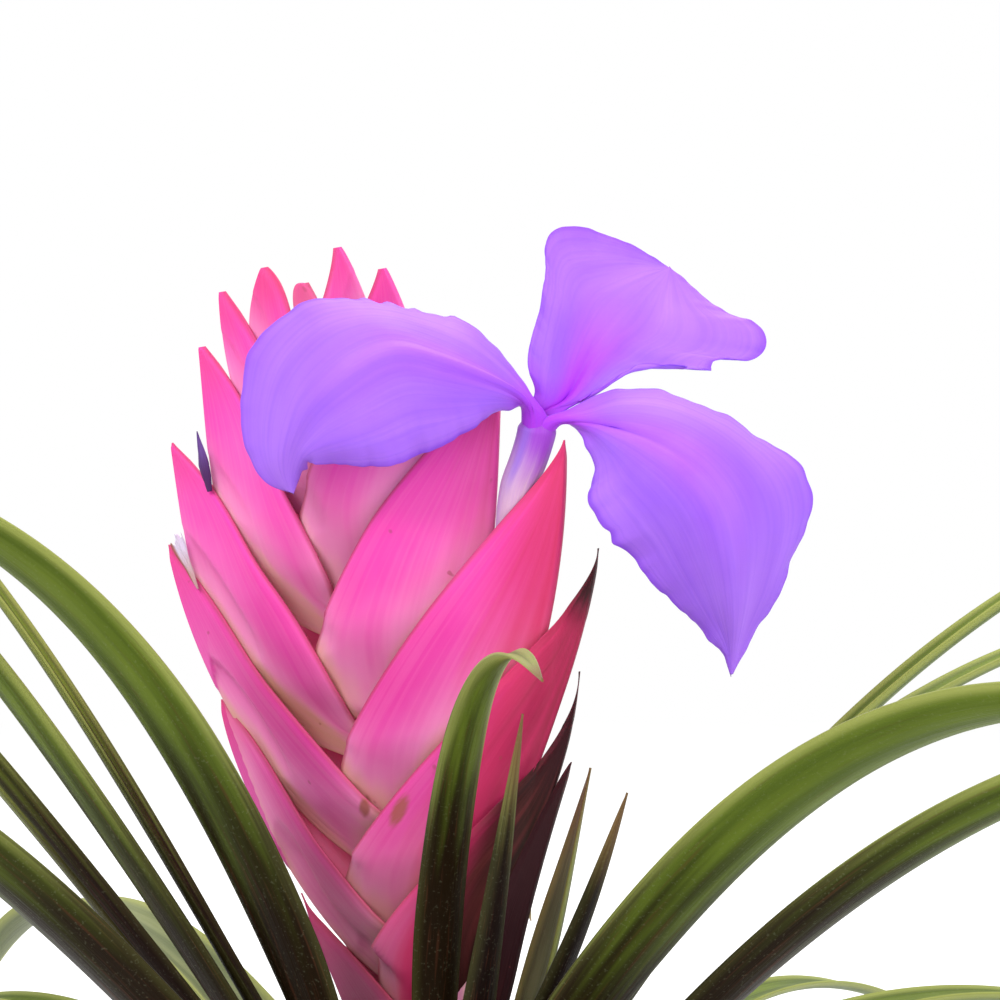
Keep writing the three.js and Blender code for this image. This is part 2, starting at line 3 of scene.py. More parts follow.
import bpy
import numpy as np
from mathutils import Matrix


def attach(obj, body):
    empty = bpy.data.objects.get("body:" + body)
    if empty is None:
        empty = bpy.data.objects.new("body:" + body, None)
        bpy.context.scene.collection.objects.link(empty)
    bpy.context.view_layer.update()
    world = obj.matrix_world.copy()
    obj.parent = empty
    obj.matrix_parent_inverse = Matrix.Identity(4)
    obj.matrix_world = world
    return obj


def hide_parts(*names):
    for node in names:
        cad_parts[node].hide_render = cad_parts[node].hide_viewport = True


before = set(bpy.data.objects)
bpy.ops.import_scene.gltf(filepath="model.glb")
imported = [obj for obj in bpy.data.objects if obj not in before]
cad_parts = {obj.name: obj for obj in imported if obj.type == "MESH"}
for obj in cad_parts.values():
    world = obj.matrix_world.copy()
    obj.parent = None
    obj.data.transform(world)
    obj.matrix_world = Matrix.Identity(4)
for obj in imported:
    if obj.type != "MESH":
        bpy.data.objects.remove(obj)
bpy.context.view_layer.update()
mm = 0.001  # a millimetre in the metres of the scene


# smooth step: 3t^2 - 2t^3 on t held between 0 and 1
def smooth(t):
    t = np.clip(t, 0.0, 1.0)
    return t * t * (3.0 - 2.0 * t)


# from a at share 0 to b at share 1
def mixed(a, b, k):
    return a + (b - a) * k


# vectors made one long
def unit(v):
    return v / np.maximum(np.linalg.norm(v, axis=-1, keepdims=True), 1e-12)


# cubic Bezier curve through four control points, at the shares t
def bezier(points, t):
    a, b, c, d = (np.asarray(p, float) for p in points)
    t = np.asarray(t, float)[..., None]
    s = 1.0 - t
    return s**3 * a + 3 * t * s**2 * b + 3 * t**2 * s * c + t**3 * d


# Catmull-Rom curve through the points, worked out in small steps between each two of them and
# then read at even steps of its length
def evenCurve(points, count, between=24):
    p = np.asarray(points, float)
    p = np.vstack([2 * p[0] - p[1], p, 2 * p[-1] - p[-2]])
    a, b, c, d = (p[i : len(p) - 3 + i, None] for i in range(4))
    t = np.linspace(0, 1, between, endpoint=False)[None, :, None]
    square = 2 * a - 5 * b + 4 * c - d
    cube = 3 * b - a - 3 * c + d
    curve = 0.5 * (2 * b + (c - a) * t + square * t**2 + cube * t**3)
    curve = np.vstack([curve.reshape(-1, 3), p[-2]])
    length = np.concatenate([[0], np.cumsum(np.linalg.norm(np.diff(curve, axis=0), axis=1))])
    at = np.linspace(0, length[-1], count + 1)
    return np.stack([np.interp(at, length, curve[:, i]) for i in range(3)], axis=1)


# normals of a grid of points: cross product of the two grid directions
def gridNormals(grid):
    along = np.gradient(grid, axis=0)
    across = np.gradient(grid, axis=1)
    return unit(np.cross(across, along))


# A piece from a vertex array in millimetres, quads, a UV pair and named values for each vertex
def makePiece(name, points, quads, uv, values, material, slotName, *nodes):
    mesh = bpy.data.meshes.new(name)
    mesh.from_pydata((points * mm).tolist(), [], quads.tolist())
    mesh.validate()
    loops = np.empty(len(mesh.loops), dtype=np.int32)
    mesh.loops.foreach_get("vertex_index", loops)
    layer = mesh.uv_layers.new(name="UVMap")
    layer.data.foreach_set("uv", uv[loops].astype(np.float32).ravel())
    for key, data in values.items():
        attribute = mesh.attributes.new(key, "FLOAT", "POINT")
        attribute.data.foreach_set("value", np.ascontiguousarray(data, dtype=np.float32))
    mesh.polygons.foreach_set("use_smooth", np.ones(len(mesh.polygons), dtype=bool))
    mesh.materials.append(material)
    piece = bpy.data.objects.new(name, mesh)
    bpy.context.scene.collection.objects.link(piece)
    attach(piece, "root")
    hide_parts(*nodes)


# Quads of a closed sheet between a front and a back grid of rows by columns points
def sheetQuads(rows, columns):
    i, j = np.meshgrid(np.arange(rows - 1), np.arange(columns - 1), indexing="ij")
    f = (i * columns + j).ravel()
    front = np.stack([f, f + 1, f + columns + 1, f + columns], axis=1)
    back = front[:, ::-1] + rows * columns
    r = np.arange(rows - 1) * columns
    c = np.arange(columns - 1)
    shift = rows * columns
    low = np.stack([r, r + columns, r + columns + shift, r + shift], axis=1)
    high = r + columns - 1
    high = np.stack([high + columns, high, high + shift, high + columns + shift], axis=1)
    start = np.stack([c + 1, c, c + shift, c + 1 + shift], axis=1)
    end = c + (rows - 1) * columns
    end = np.stack([end, end + 1, end + 1 + shift, end + shift], axis=1)
    return np.vstack([front, back, low, high, start, end])


# Volume of a closed quad mesh, to tell which way its faces point
def signedVolume(points, quads):
    a, b, c, d = (points[quads[:, i]] for i in range(4))
    return float((a * (np.cross(b, c) + np.cross(c, d))).sum())


# Closed sheet: its named values are one grid for both faces, or a pair of front and back
def makeSheet(name, front, back, values, material, slotName, *nodes):
    rows, columns = front.shape[:2]
    points = np.concatenate([front.reshape(-1, 3), back.reshape(-1, 3)])
    quads = sheetQuads(rows, columns)
    if signedVolume(points, quads) < 0:
        quads = quads[:, ::-1]
    v, u = np.meshgrid(np.linspace(0, 1, rows), np.linspace(0, 1, columns), indexing="ij")
    uv = np.tile(np.stack([u.ravel(), v.ravel()], axis=1), (2, 1))
    both = {}
    for key, data in values.items():
        pair = data if isinstance(data, tuple) else (data, data)
        both[key] = np.concatenate([np.broadcast_to(d, (rows, columns)).ravel() for d in pair])
    makePiece(name, points, quads, uv, both, material, slotName, *nodes)


# Closed body of rings by sides points, with a quad fan to a middle point at each end
def makeRings(name, rings, values, material, slotName, *nodes):
    count, sides = rings.shape[:2]
    points = np.vstack([rings.reshape(-1, 3), rings[0].mean(axis=0), rings[-1].mean(axis=0)])
    i, j = np.meshgrid(np.arange(count - 1), np.arange(sides), indexing="ij")
    k = (j + 1) % sides
    low, high = i * sides, (i + 1) * sides
    quads = np.stack([low + j, low + k, high + k, high + j], axis=-1).reshape(-1, 4)
    s = np.arange(0, sides, 2)
    first = np.stack([np.full_like(s, count * sides), (s + 2) % sides, s + 1, s], axis=1)
    last = (count - 1) * sides
    second = [np.full_like(s, count * sides + 1), last + s, last + s + 1, last + (s + 2) % sides]
    second = np.stack(second, axis=1)
    quads = np.vstack([quads, first, second])
    if signedVolume(points, quads) < 0:
        quads = quads[:, ::-1]
    v, u = np.meshgrid(np.linspace(0, 1, count), np.abs(np.linspace(-1, 1, sides)), indexing="ij")
    uv = np.vstack([np.stack([u.ravel(), v.ravel()], axis=1), [[0.5, 0.0], [0.5, 1.0]]])
    flat = {}
    for key, data in values.items():
        data = np.broadcast_to(data, (count, sides))
        flat[key] = np.concatenate([data.ravel(), [data[0].mean(), data[-1].mean()]])
    makePiece(name, points, quads, uv, flat, material, slotName, *nodes)


# a material with only a Principled shader and its output
def newMaterial(name):
    material = bpy.data.materials.new(name)
    material.use_nodes = True
    nodes = material.node_tree.nodes
    nodes.clear()
    out = nodes.new("ShaderNodeOutputMaterial")
    shader = nodes.new("ShaderNodeBsdfPrincipled")
    material.node_tree.links.new(shader.outputs["BSDF"], out.inputs["Surface"])
    return material, material.node_tree, shader


# a new node with its settings
def addNode(tree, kind, **settings):
    node = tree.nodes.new(kind)
    for key, value in settings.items():
        setattr(node, key, value)
    return node


# plugs a value, a colour or another node's output into a socket
def feed(tree, socket, value):
    if isinstance(value, bpy.types.NodeSocket):
        tree.links.new(value, socket)
    elif isinstance(value, (tuple, list)) and len(value) == 3 and socket.type == "RGBA":
        socket.default_value = (*value, 1.0)
    else:
        socket.default_value = value


# one sum on values or on other nodes' outputs
def mathNode(tree, operation, a, b=0.0, c=None):
    node = addNode(tree, "ShaderNodeMath", operation=operation)
    feed(tree, node.inputs[0], a)
    feed(tree, node.inputs[1], b)
    if c is not None:
        feed(tree, node.inputs[2], c)
    return node.outputs[0]


# 0 below low, 1 above high, smooth between
def stepNode(tree, value, low, high):
    node = addNode(tree, "ShaderNodeMapRange", interpolation_type="SMOOTHSTEP")
    feed(tree, node.inputs["Value"], value)
    feed(tree, node.inputs["From Min"], low)
    feed(tree, node.inputs["From Max"], high)
    return node.outputs["Result"]


# a times b
def timesNode(tree, a, b):
    return mathNode(tree, "MULTIPLY", a, b)


# 1 below low, 0 above high, smooth between
def fallNode(tree, value, low, high):
    return mathNode(tree, "SUBTRACT", 1.0, stepNode(tree, value, low, high))


# moves a value up and down by half the swing, by a streak or patch between 0 and 1
def wanderNode(tree, value, streak, swing):
    return mathNode(tree, "ADD", value, mathNode(tree, "MULTIPLY_ADD", streak, swing, -swing / 2))


# colour a at factor 0, colour b at factor 1
def mixNode(tree, factor, a, b):
    node = addNode(tree, "ShaderNodeMix", data_type="RGBA")
    feed(tree, node.inputs["Factor"], factor)
    feed(tree, node.inputs["A"], a)
    feed(tree, node.inputs["B"], b)
    return node.outputs["Result"]


# lays a tint over a colour: the amount varies over the piece, the share is its most
def tintNode(tree, color, amount, share, tint):
    return mixNode(tree, timesNode(tree, amount, share), color, tint)


# a named value of the piece's vertices
def attributeNode(tree, name):
    return addNode(tree, "ShaderNodeAttribute", attribute_name=name).outputs["Fac"]


# a node group with number sockets: inputs with their usual values, and outputs
def newGroup(name, inputs, outputs):
    group = bpy.data.node_groups.new(name, "ShaderNodeTree")
    for key, value in inputs.items():
        socket = group.interface.new_socket(name=key, in_out="INPUT", socket_type="NodeSocketFloat")
        socket.default_value = value
    for key in outputs:
        group.interface.new_socket(name=key, in_out="OUTPUT", socket_type="NodeSocketFloat")
    return group, addNode(group, "NodeGroupInput"), addNode(group, "NodeGroupOutput")


# Streaks that run along the piece: noise on the UV map, narrow across and long along
def streakGroup():
    inputs = {"Lines Across": 40.0, "Breaks Along": 2.0, "Seed": 0.0}
    group, inside, outside = newGroup("growthStreaks", inputs, ("Streak", "Fine Streak"))
    uv = addNode(group, "ShaderNodeUVMap", uv_map="UVMap")
    parts = addNode(group, "ShaderNodeSeparateXYZ")
    group.links.new(uv.outputs["UV"], parts.inputs[0])
    for output, factor in (("Streak", 1.0), ("Fine Streak", 3.1)):
        across = timesNode(group, inside.outputs["Lines Across"], factor)
        x = timesNode(group, parts.outputs["X"], across)
        y = timesNode(group, parts.outputs["Y"], inside.outputs["Breaks Along"])
        joined = addNode(group, "ShaderNodeCombineXYZ")
        feed(group, joined.inputs["X"], x)
        feed(group, joined.inputs["Y"], y)
        feed(group, joined.inputs["Z"], inside.outputs["Seed"])
        noise = addNode(group, "ShaderNodeTexNoise")
        noise.inputs["Scale"].default_value = 1.0
        noise.inputs["Detail"].default_value = 2.0
        noise.inputs["Roughness"].default_value = 0.5
        group.links.new(joined.outputs[0], noise.inputs["Vector"])
        group.links.new(noise.outputs["Fac"], outside.inputs[output])
    return group


# Soft patches in the object's own space: one coarse and one fine noise
def patchGroup():
    inputs = {"Coarse Scale": 60.0, "Fine Scale": 900.0}
    group, inside, outside = newGroup("softPatches", inputs, ("Patch", "Speck"))
    place = addNode(group, "ShaderNodeTexCoord")
    for output, source, detail in (("Patch", "Coarse Scale", 3.0), ("Speck", "Fine Scale", 1.0)):
        noise = addNode(group, "ShaderNodeTexNoise")
        noise.inputs["Detail"].default_value = detail
        group.links.new(place.outputs["Object"], noise.inputs["Vector"])
        group.links.new(inside.outputs[source], noise.inputs["Scale"])
        group.links.new(noise.outputs["Fac"], outside.inputs[output])
    return group


streaks = streakGroup()
patches = patchGroup()


# one use of a group, with its inputs fed
def placeGroup(tree, group, **values):
    node = addNode(tree, "ShaderNodeGroup")
    node.node_tree = group
    for key, value in values.items():
        feed(tree, node.inputs[key], value)
    return node


# coarse and fine streaks, by the count of lines across and of breaks along, and a seed
def streakNode(tree, across, along, seed):
    node = placeGroup(tree, streaks, **{"Lines Across": across, "Breaks Along": along, "Seed": seed})
    return node.outputs["Streak"], node.outputs["Fine Streak"]


# soft patches and fine specks, by their scales
def patchNode(tree, coarse, fine):
    node = placeGroup(tree, patches, **{"Coarse Scale": coarse, "Fine Scale": fine})
    return node.outputs["Patch"], node.outputs["Speck"]


# a surface normal bent by a height between 0 and 1
def bumpNode(tree, height, strength, distance):
    node = addNode(tree, "ShaderNodeBump")
    node.inputs["Strength"].default_value = strength
    node.inputs["Distance"].default_value = distance
    feed(tree, node.inputs["Height"], height)
    return node.outputs["Normal"]


# feeds the worked colour, roughness and height, and sets the plain sockets that the skin lists
def finishSkin(tree, shader, skin, color, rough, height):
    feed(tree, shader.inputs["Base Color"], color)
    feed(tree, shader.inputs["Roughness"], rough)
    feed(tree, shader.inputs["Normal"], bumpNode(tree, height, *skin["bump"]))
    for socket, value in skin["finish"].items():
        shader.inputs[socket].default_value = value


# Leaves: sizes in millimetres, angles in degrees
leafShape = {
    "thickness": 0.7,
    "outerRadius": 17.0,
    "radiusStep": 0.5,
    "lowestHeight": 2.0,
    "heightStep": 0.7,
    "sheathLength": 36.0,
    "foldAngle": 52.0,
    "tipHalfWidth": 0.35,
    "taper": (1.7, 0.85),
    "edgeHalf": 0.16,
    "tipThinning": 0.55,
    "rollShare": 0.35,
    "rippleHeight": 0.10,
    "rippleLength": 9.0,
    "steps": 480,
    "rows": 130,
    "columns": 18,
}

# azimuth, rise, droop, late, sway, length, half width, roll, sheath angle, dark length, tint
leafTable = [
    (-98, 24, 49.3, 1.0, 0, 140, 5.2, 0, 33, 40, "green"),
    (128, 25, 51.8, 1.0, 0, 150, 5.2, 0, 33, 40, "green"),
    (-20, 26, 54.1, 1.0, 0, 165, 5.2, 0, 33, 50, "green"),
    (-150, 27, 56.7, 1.0, 0, 160, 5.4, 0, 33, 50, "green"),
    (58, 24, 50.0, 1.0, 0, 150, 5.2, 0, 33, 45, "green"),
    (-68, 30, 64.1, 1.0, 0, 150, 5.2, 0, 33, 45, "green"),
    (160, 31, 56.0, 1.0, 0, 170, 5.2, 0, 33, 55, "green"),
    (85, 33, 58.0, 1.0, 0, 160, 5.2, 0, 33, 45, "green"),
    (-122, 34, 64.0, 1.0, 0, 155, 5.2, 0, 33, 50, "green"),
    (36, 26, 56.0, 1.0, 0, 150, 5.2, 0, 33, 50, "green"),
    (-48, 38, 74.0, 1.0, 0, 155, 5.0, 0, 33, 50, "green"),
    (125, 32, 78.0, 1.15, -10, 155, 6.5, 6, 33, 30, "shade"),
    (217, 48, 82.0, 1.5, 0, 215, 6.6, 18, 33, 105, "green"),
    (-22, 48, 135.0, 1.4, -1, 225, 6.2, -27, 33, 100, "green"),
    (177, 52, 75.0, 2.0, -2, 220, 4.0, -13, 33, 95, "green"),
    (29, 55, 70.0, 0.85, 0, 215, 4.4, -10, 33, 60, "green"),
    (194, 58, 130.0, 2.1, 0, 225, 4.7, 17, 33, 80, "green"),
    (11, 56, 62.0, 1.1, 0, 215, 4.3, -7, 33, 60, "green"),
    (184, 61, 140.0, 2.1, 1, 225, 2.8, -12, 33, 85, "green"),
    (-46, 51, 140.0, 1.4, 2, 225, 7.0, -20, 33, 70, "green"),
    (209, 67, 160.0, 1.65, -10, 200, 7.4, 15, 33, 75, "green"),
    (97, 62, 96.0, 1.0, 0, 165, 4.8, 0, 33, 60, "green"),
    (-62, 69, -7.0, 0.84, 2, 62, 2.8, 0, 24, 80, "dark"),
    (20, 56, -23.0, 0.5, -16, 51, 6.4, 2, 26, 20, "shade"),
    (-81, 82, 82.0, 0.8, -5, 140, 3.5, 12, 24, 90, "green"),
    (-27, 56, -15.0, 0.85, -4, 52, 3.0, -17, 26, 80, "dark"),
]
leafKeys = ("azimuth", "rise", "droop", "late", "sway", "length", "half", "roll", "sheath", "dark", "tint")


# Leaf: the centre line leaves the sheath at the rise angle and bends down by droop times a
# smooth step of share^late; the half width tapers as (1 - share^a)^b with the two taper powers;
# the section is an arc, open upward, with a thin edge
def leafGrids(leaf, rank):
    shape = leafShape
    radius = shape["outerRadius"] - shape["radiusStep"] * rank
    rows, columns = shape["rows"], shape["columns"]
    share = np.linspace(0, 1, rows + 1) ** 1.1

    def direction(t):
        lift = np.radians(leaf["rise"] - leaf["droop"] * smooth(t ** leaf["late"]))
        turn = np.radians(leaf["azimuth"] + leaf["sway"] * t * t)
        way = np.stack([np.cos(lift) * np.cos(turn), np.cos(lift) * np.sin(turn), np.sin(lift)], axis=-1)
        return way, turn

    fine = (np.arange(shape["steps"]) + 0.5) / shape["steps"]
    steps = direction(fine)[0] * leaf["length"] / shape["steps"]
    around = math.radians(leaf["azimuth"])
    height = shape["lowestHeight"] + shape["heightStep"] * rank
    start = np.array([radius * math.cos(around), radius * math.sin(around), height])
    line = np.vstack([start, start + np.cumsum(steps, axis=0)])
    at = np.linspace(0, 1, len(line))
    centre = np.stack([np.interp(share, at, line[:, i]) for i in range(3)], axis=1)
    along, turn = direction(share)
    flatSide = np.stack([-np.sin(turn), np.cos(turn), np.zeros_like(turn)], axis=1)
    flatUp = np.cross(along, flatSide)
    twist = (np.radians(leaf["roll"]) * smooth(share / shape["rollShare"]))[:, None]
    side = flatSide * np.cos(twist) + flatUp * np.sin(twist)
    up = flatUp * np.cos(twist) - flatSide * np.sin(twist)

    blend = smooth(share * leaf["length"] / shape["sheathLength"])
    inner, outer = shape["taper"]
    blade = leaf["half"] * np.maximum(1 - share**inner, 0) ** outer
    sheath = math.radians(leaf["sheath"])
    narrow = shape["tipHalfWidth"] * (1.05 - share) * 2.0 + 0.02
    half = np.maximum(mixed(sheath * radius, blade, blend), narrow)
    arc = mixed(sheath, math.radians(shape["foldAngle"]) * (1 - 0.4 * share), blend)
    q = np.sin(np.linspace(-0.5, 0.5, columns + 1) * np.pi)
    angle = q[None, :] * arc[:, None]
    bend = (half / arc)[:, None]
    point = centre[:, None] + side[:, None] * (bend * np.sin(angle))[..., None]
    point = point + up[:, None] * (bend * (1 - np.cos(angle)))[..., None]
    normal = up[:, None] * np.cos(angle)[..., None] - side[:, None] * np.sin(angle)[..., None]

    edge = shape["edgeHalf"]
    body = edge + (shape["thickness"] / 2 - edge) * (1 - np.abs(q[None, :]) ** 4)
    body = body * (1 - shape["tipThinning"] * smooth((share[:, None] - 0.6) / 0.4))
    fromBase = (share * leaf["length"])[:, None]
    ripple = shape["rippleHeight"] * np.sin(fromBase / shape["rippleLength"] + rank) * q[None, :] ** 3
    point = point + normal * ripple[..., None]
    values = {
        "fromBase": fromBase,
        "toEdge": half[:, None] * (1 - np.abs(q[None, :])),
        "toTip": leaf["length"] - fromBase,
        "darkLength": float(leaf["dark"]),
        "underside": (0.0, 1.0),
    }
    return point + normal * body[..., None], point - normal * body[..., None], values


leafColors = {
    "green": {"blade": (0.140, 0.190, 0.020), "deep": (0.062, 0.092, 0.009), "dark": (0.012, 0.006, 0.002)},
    "shade": {"blade": (0.19, 0.21, 0.090), "deep": (0.105, 0.125, 0.052), "dark": (0.065, 0.050, 0.026)},
    "dark": {"blade": (0.075, 0.050, 0.020), "deep": (0.028, 0.016, 0.008), "dark": (0.009, 0.004, 0.003)},
}
leafSkin = {
    "rust": (0.085, 0.026, 0.012),
    "margin": (0.34, 0.36, 0.10),
    "dryTip": (0.17, 0.09, 0.04),
    "scales": (0.30, 0.32, 0.20),
    "bump": (0.3, 0.0004),
    "finish": {"Specular IOR Level": 0.09},
}


# Leaf skin: green blade over lengthwise streaks, brown-black toward the sheath in broken lines
# with rust-red threads, a pale margin that is partly painted light through the thin edge, a dry brown tip,
# and small scales as fine specks
def leafMaterial(tint):
    colors, skin = leafColors[tint], leafSkin
    material, tree, shader = newMaterial("leaf" + tint.capitalize())
    streak, _ = streakNode(tree, 9.0, 5.0, 3.0)
    thin, fine = streakNode(tree, 34.0, 14.0, 8.0)
    patch, speck = patchNode(tree, 55.0, 2600.0)
    darkLength = attributeNode(tree, "darkLength")
    blade = mixNode(tree, stepNode(tree, streak, 0.32, 0.68), colors["deep"], colors["blade"])
    blade = tintNode(tree, blade, stepNode(tree, patch, 0.35, 0.7), 0.45, colors["deep"])
    blade = tintNode(tree, blade, attributeNode(tree, "underside"), 0.35, colors["deep"])
    reach = wanderNode(tree, attributeNode(tree, "fromBase"), streak, 56.0)
    darkFrom = timesNode(tree, darkLength, 0.45)
    darkness = fallNode(tree, reach, darkFrom, darkLength)
    color = mixNode(tree, darkness, blade, colors["dark"])
    rust = fallNode(tree, reach, darkFrom, timesNode(tree, darkLength, 1.7))
    rust = timesNode(tree, stepNode(tree, thin, 0.56, 0.70), rust)
    color = tintNode(tree, color, rust, 0.35, skin["rust"])
    # pale margin: partly the leaf's own lighter band, partly painted light through the thin lit edge
    pale = fallNode(tree, attributeNode(tree, "toEdge"), 0.15, 1.5)
    pale = timesNode(tree, pale, mathNode(tree, "MULTIPLY_ADD", darkness, -0.8, 0.9))
    color = tintNode(tree, color, pale, 0.7, skin["margin"])
    dry = fallNode(tree, attributeNode(tree, "toTip"), 2.0, 14.0)
    color = tintNode(tree, color, dry, 0.8, skin["dryTip"])
    color = tintNode(tree, color, stepNode(tree, speck, 0.60, 0.75), 0.09, skin["scales"])
    rough = mathNode(tree, "MULTIPLY_ADD", thin, 0.2, 0.33)
    height = mathNode(tree, "ADD", timesNode(tree, thin, 0.7), timesNode(tree, fine, 0.3))
    finishSkin(tree, shader, skin, color, rough, height)
    return material


leafMaterials = {tint: leafMaterial(tint) for tint in leafColors}
for rank, row in enumerate(leafTable):
    leaf = dict(zip(leafKeys, row))
    tint = leaf["tint"]
    node = f"leaf_{rank + 1:02d}"
    makeSheet("blade_" + node, *leafGrids(leaf, rank), leafMaterials[tint], "leaf_" + tint, node)
print("leaves made")


# Spike: a plane turned toward the viewer's left, with its foot bent over to the stem
spikeShape = {
    "origin": (3.9, 0.0, 42.8),
    "lean": 9.9,
    "yaw": 30.0,
    "footBend": 6.5,
    "footLength": 24.0,
    "firstFoot": -22.3,
    "secondFoot": -17.0,
    "spacing": 7.1,
    "halfDepth": 6.8,
    "keelReach": 14.0,
    "keelHalf": 0.45,
    "tipFlat": 24.0,
    "tipShare": 0.22,
    "openTipFlat": 12.0,
    "flowerBract": 6,
    "thickness": 0.6,
    "step": 1.0,
    "coverFall": 8.0,
    "leastDepth": 0.35,
    "nearLengths": (7.5, 4.0),
    "footWidths": (1.8, 0.8, 6.0, 0.55, 2.0),
    "footDepths": (1.3, 0.3, 3.2, 0.3, 1.0),
    "widestBract": 8,
    "bluntFrom": 9,
    "blunt": 0.9,
    "sharp": 0.15,
    "backNarrowing": 0.28,
    "edgeWidth": 1.4,
    "edgeThinning": 0.38,
    "rows": 90,
    "halfColumns": 26,
}
lean = math.radians(spikeShape["lean"])
yaw = math.radians(spikeShape["yaw"])
acrossFlat = np.array([math.cos(lean), 0.0, math.sin(lean)])
toViewer = np.array([0.0, -1.0, 0.0])
acrossAxis = acrossFlat * math.cos(yaw) + toViewer * math.sin(yaw)
upAxis = np.array([-math.sin(lean), 0.0, math.cos(lean)])
outAxis = toViewer * math.cos(yaw) - acrossFlat * math.sin(yaw)


# a point across, up and out from the plane of the spike
def spikePoint(u, v, w):
    u, v, w = np.broadcast_arrays(np.asarray(u, float), v, w)
    bend = spikeShape["footBend"] * np.clip(-v / spikeShape["footLength"], 0, 1.2) ** 2
    point = np.array(spikeShape["origin"]) + u[..., None] * acrossAxis + v[..., None] * upAxis
    point = point + w[..., None] * outAxis
    point[..., 0] -= bend
    return point


# side (+1 right), tip, the keel's two handles and the free margin's two handles as across and
# up in the plane of the spike, dark length at the tip
bractTable = [
    (1, (20.7, 23.9), (3, -9), (11, 6.5), (-7.5, -13), (14.5, 18.5), 40.0),
    (-1, (-20.8, 10.5), (-17, -14.5), (-17.5, -2), (3, -5), (-18.5, 2.5), 0.0),
    (1, (23.9, 34.5), (4.5, 7), (18, 15.5), (-31, 2), (21.5, 19.5), 17.0),
    (-1, (-27.5, 35.6), (-15, -5), (-28.5, 22.5), (-7.5, 8), (-19, 25), 0.0),
    (1, (29.2, 48.6), (9, 15), (23, 31), (-40.5, 2), (28.5, 40), 9.0),
    (-1, (-31.2, 55.6), (-18, 14.5), (-31, 35), (-10, 31), (-22, 43), 0.0),
    (1, (27.2, 61.6), (15.5, 26), (24.5, 44.5), (-29, 18.5), (25, 56.5), 0.0),
    (-1, (-27.9, 68.1), (-29, 32.5), (-30, 45), (-19.5, 35), (9.5, 27), 0.0),
    (1, (20.1, 69.9), (14.5, 41.5), (17, 57), (-27, 24.5), (6, 63.5), 0.0),
    (-1, (-21.2, 79.2), (-26.5, 47.5), (-24, 59), (-18.5, 53.5), (9, 36), 0.0),
    (1, (13.7, 76.9), (11, 53), (14.5, 64.5), (-21, 39), (-2, 76), 0.0),
    (-1, (-16.8, 85.4), (-15, 57), (-19.5, 70.5), (-1.5, 58.5), (-10.5, 76.5), 0.0),
    (1, (7.1, 84.8), (10.5, 62), (11.5, 72.5), (-9, 66.5), (4, 80), 0.0),
    (-1, (-10.1, 87.4), (-11, 65.5), (-18.5, 76.5), (-7, 64.5), (-4.5, 83), 0.0),
    (1, (1.4, 88.2), (5.5, 67.5), (5.5, 79), (-10.5, 72), (-1.5, 80.5), 0.0),
    (-1, (-4.7, 84.7), (-6, 70), (-8.5, 86.5), (-0.5, 69), (0.5, 74.5), 0.0),
]
closingFeet = (5.1, 9.1, 12.6, 15.6, 18.1)  # feet of the last five, above the foot of bract 10

# how far some bracts on the right are reddened and browned from their keels, and over what width; the
# near-black part is partly painted shade
keelBrownShadeShare = {0: (1.0, 22.0), 2: (0.97, 18.0), 4: (0.62, 18.0), 6: (0.42, 12.0), 8: (0.2, 9.0)}

# how red some of the tips are
redTipShare = {9: 0.4, 10: 0.4, 11: 0.45, 12: 0.35, 13: 0.6, 14: 0.4, 15: 0.6}
usualRedTip = 0.35

# olive-brown bruises on the viewer's side: x and z of the middle, half width, half height, slant
bruises = [(-3.0, 62.9, 1.1, 2.6, 0.35), (-7.3, 62.6, 0.8, 1.7, 0.1)]


# height of a bract's foot up the spike, bract 0 being the lowest
def bractFoot(k):
    if k == 0:
        return spikeShape["firstFoot"]
    if k <= 10:
        return spikeShape["secondFoot"] + spikeShape["spacing"] * (k - 1)
    return bractFoot(10) + closingFeet[k - 11]


# half of the stalk's width or depth at a bract's foot: from the first bract's it grows by a step
# for each bract to its most, and above the widest bract it shrinks by another step to its least
def footHalf(key, k):
    first, grow, most, shrink, least = spikeShape[key]
    above = k - spikeShape["widestBract"]
    return min(first + grow * k, most) if above <= 0 else max(most - shrink * above, least)


# Bract outline: the keel and the free margin are cubic Bezier curves from the foot to the tip;
# the upper tips are a little blunt
def bractCurves(k):
    side, tip, keelLow, keelHigh, marginLow, marginHigh, _ = bractTable[k]
    foot = bractFoot(k)
    half = footHalf("footWidths", k)
    blunt = spikeShape["blunt" if k >= spikeShape["bluntFrom"] else "sharp"]
    keel = [(side * half, foot), keelLow, keelHigh, tip]
    margin = [(-side * half * 0.4, foot), marginLow, marginHigh, (tip[0] - side * blunt, tip[1])]
    return keel, margin


# nearest distance from each point to a line of points, and the side of the line it is on
def distanceTo(line, points):
    a = line[:-1][None]
    d = (line[1:] - line[:-1])[None]
    p = points[:, None]
    t = np.clip(((p - a) * d).sum(-1) / ((d * d).sum(-1) + 1e-12), 0, 1)
    gap = np.linalg.norm(p - a - d * t[..., None], axis=-1)
    i = gap.argmin(axis=1)
    sign = d[0, i, 0] * (points[:, 1] - a[0, i, 1]) - d[0, i, 1] * (points[:, 0] - a[0, i, 0])
    return gap[np.arange(len(points)), i], np.sign(sign)


# the line made longer at both ends
def extended(line, before, after):
    start = line[0] + unit(line[0] - line[1]) * before
    end = line[-1] + unit(line[-1] - line[-2]) * after
    return np.vstack([start, line, end])


bractLines = []
for k in range(len(bractTable)):
    keel, margin = bractCurves(k)
    shares = np.linspace(0, 1, 41)
    bractLines.append((bezier(keel, shares), extended(bezier(margin, shares), 12.0, 25.0)))


# half depth of the whole spike: falls off sideways, toward the top and toward the foot
def spikeDepth(points):
    u, v = points[:, 0], points[:, 1]
    acrossFall = 1 - 0.3 * ((u + 3) / 30) ** 2
    topFall = 1 - 0.45 * np.clip((v - 35) / 55, 0, 2) ** 2
    footFall = 1 - 0.5 * np.clip((5 - v) / 30, 0, 1) ** 1.2
    return spikeShape["halfDepth"] * acrossFall * topFall * footFall


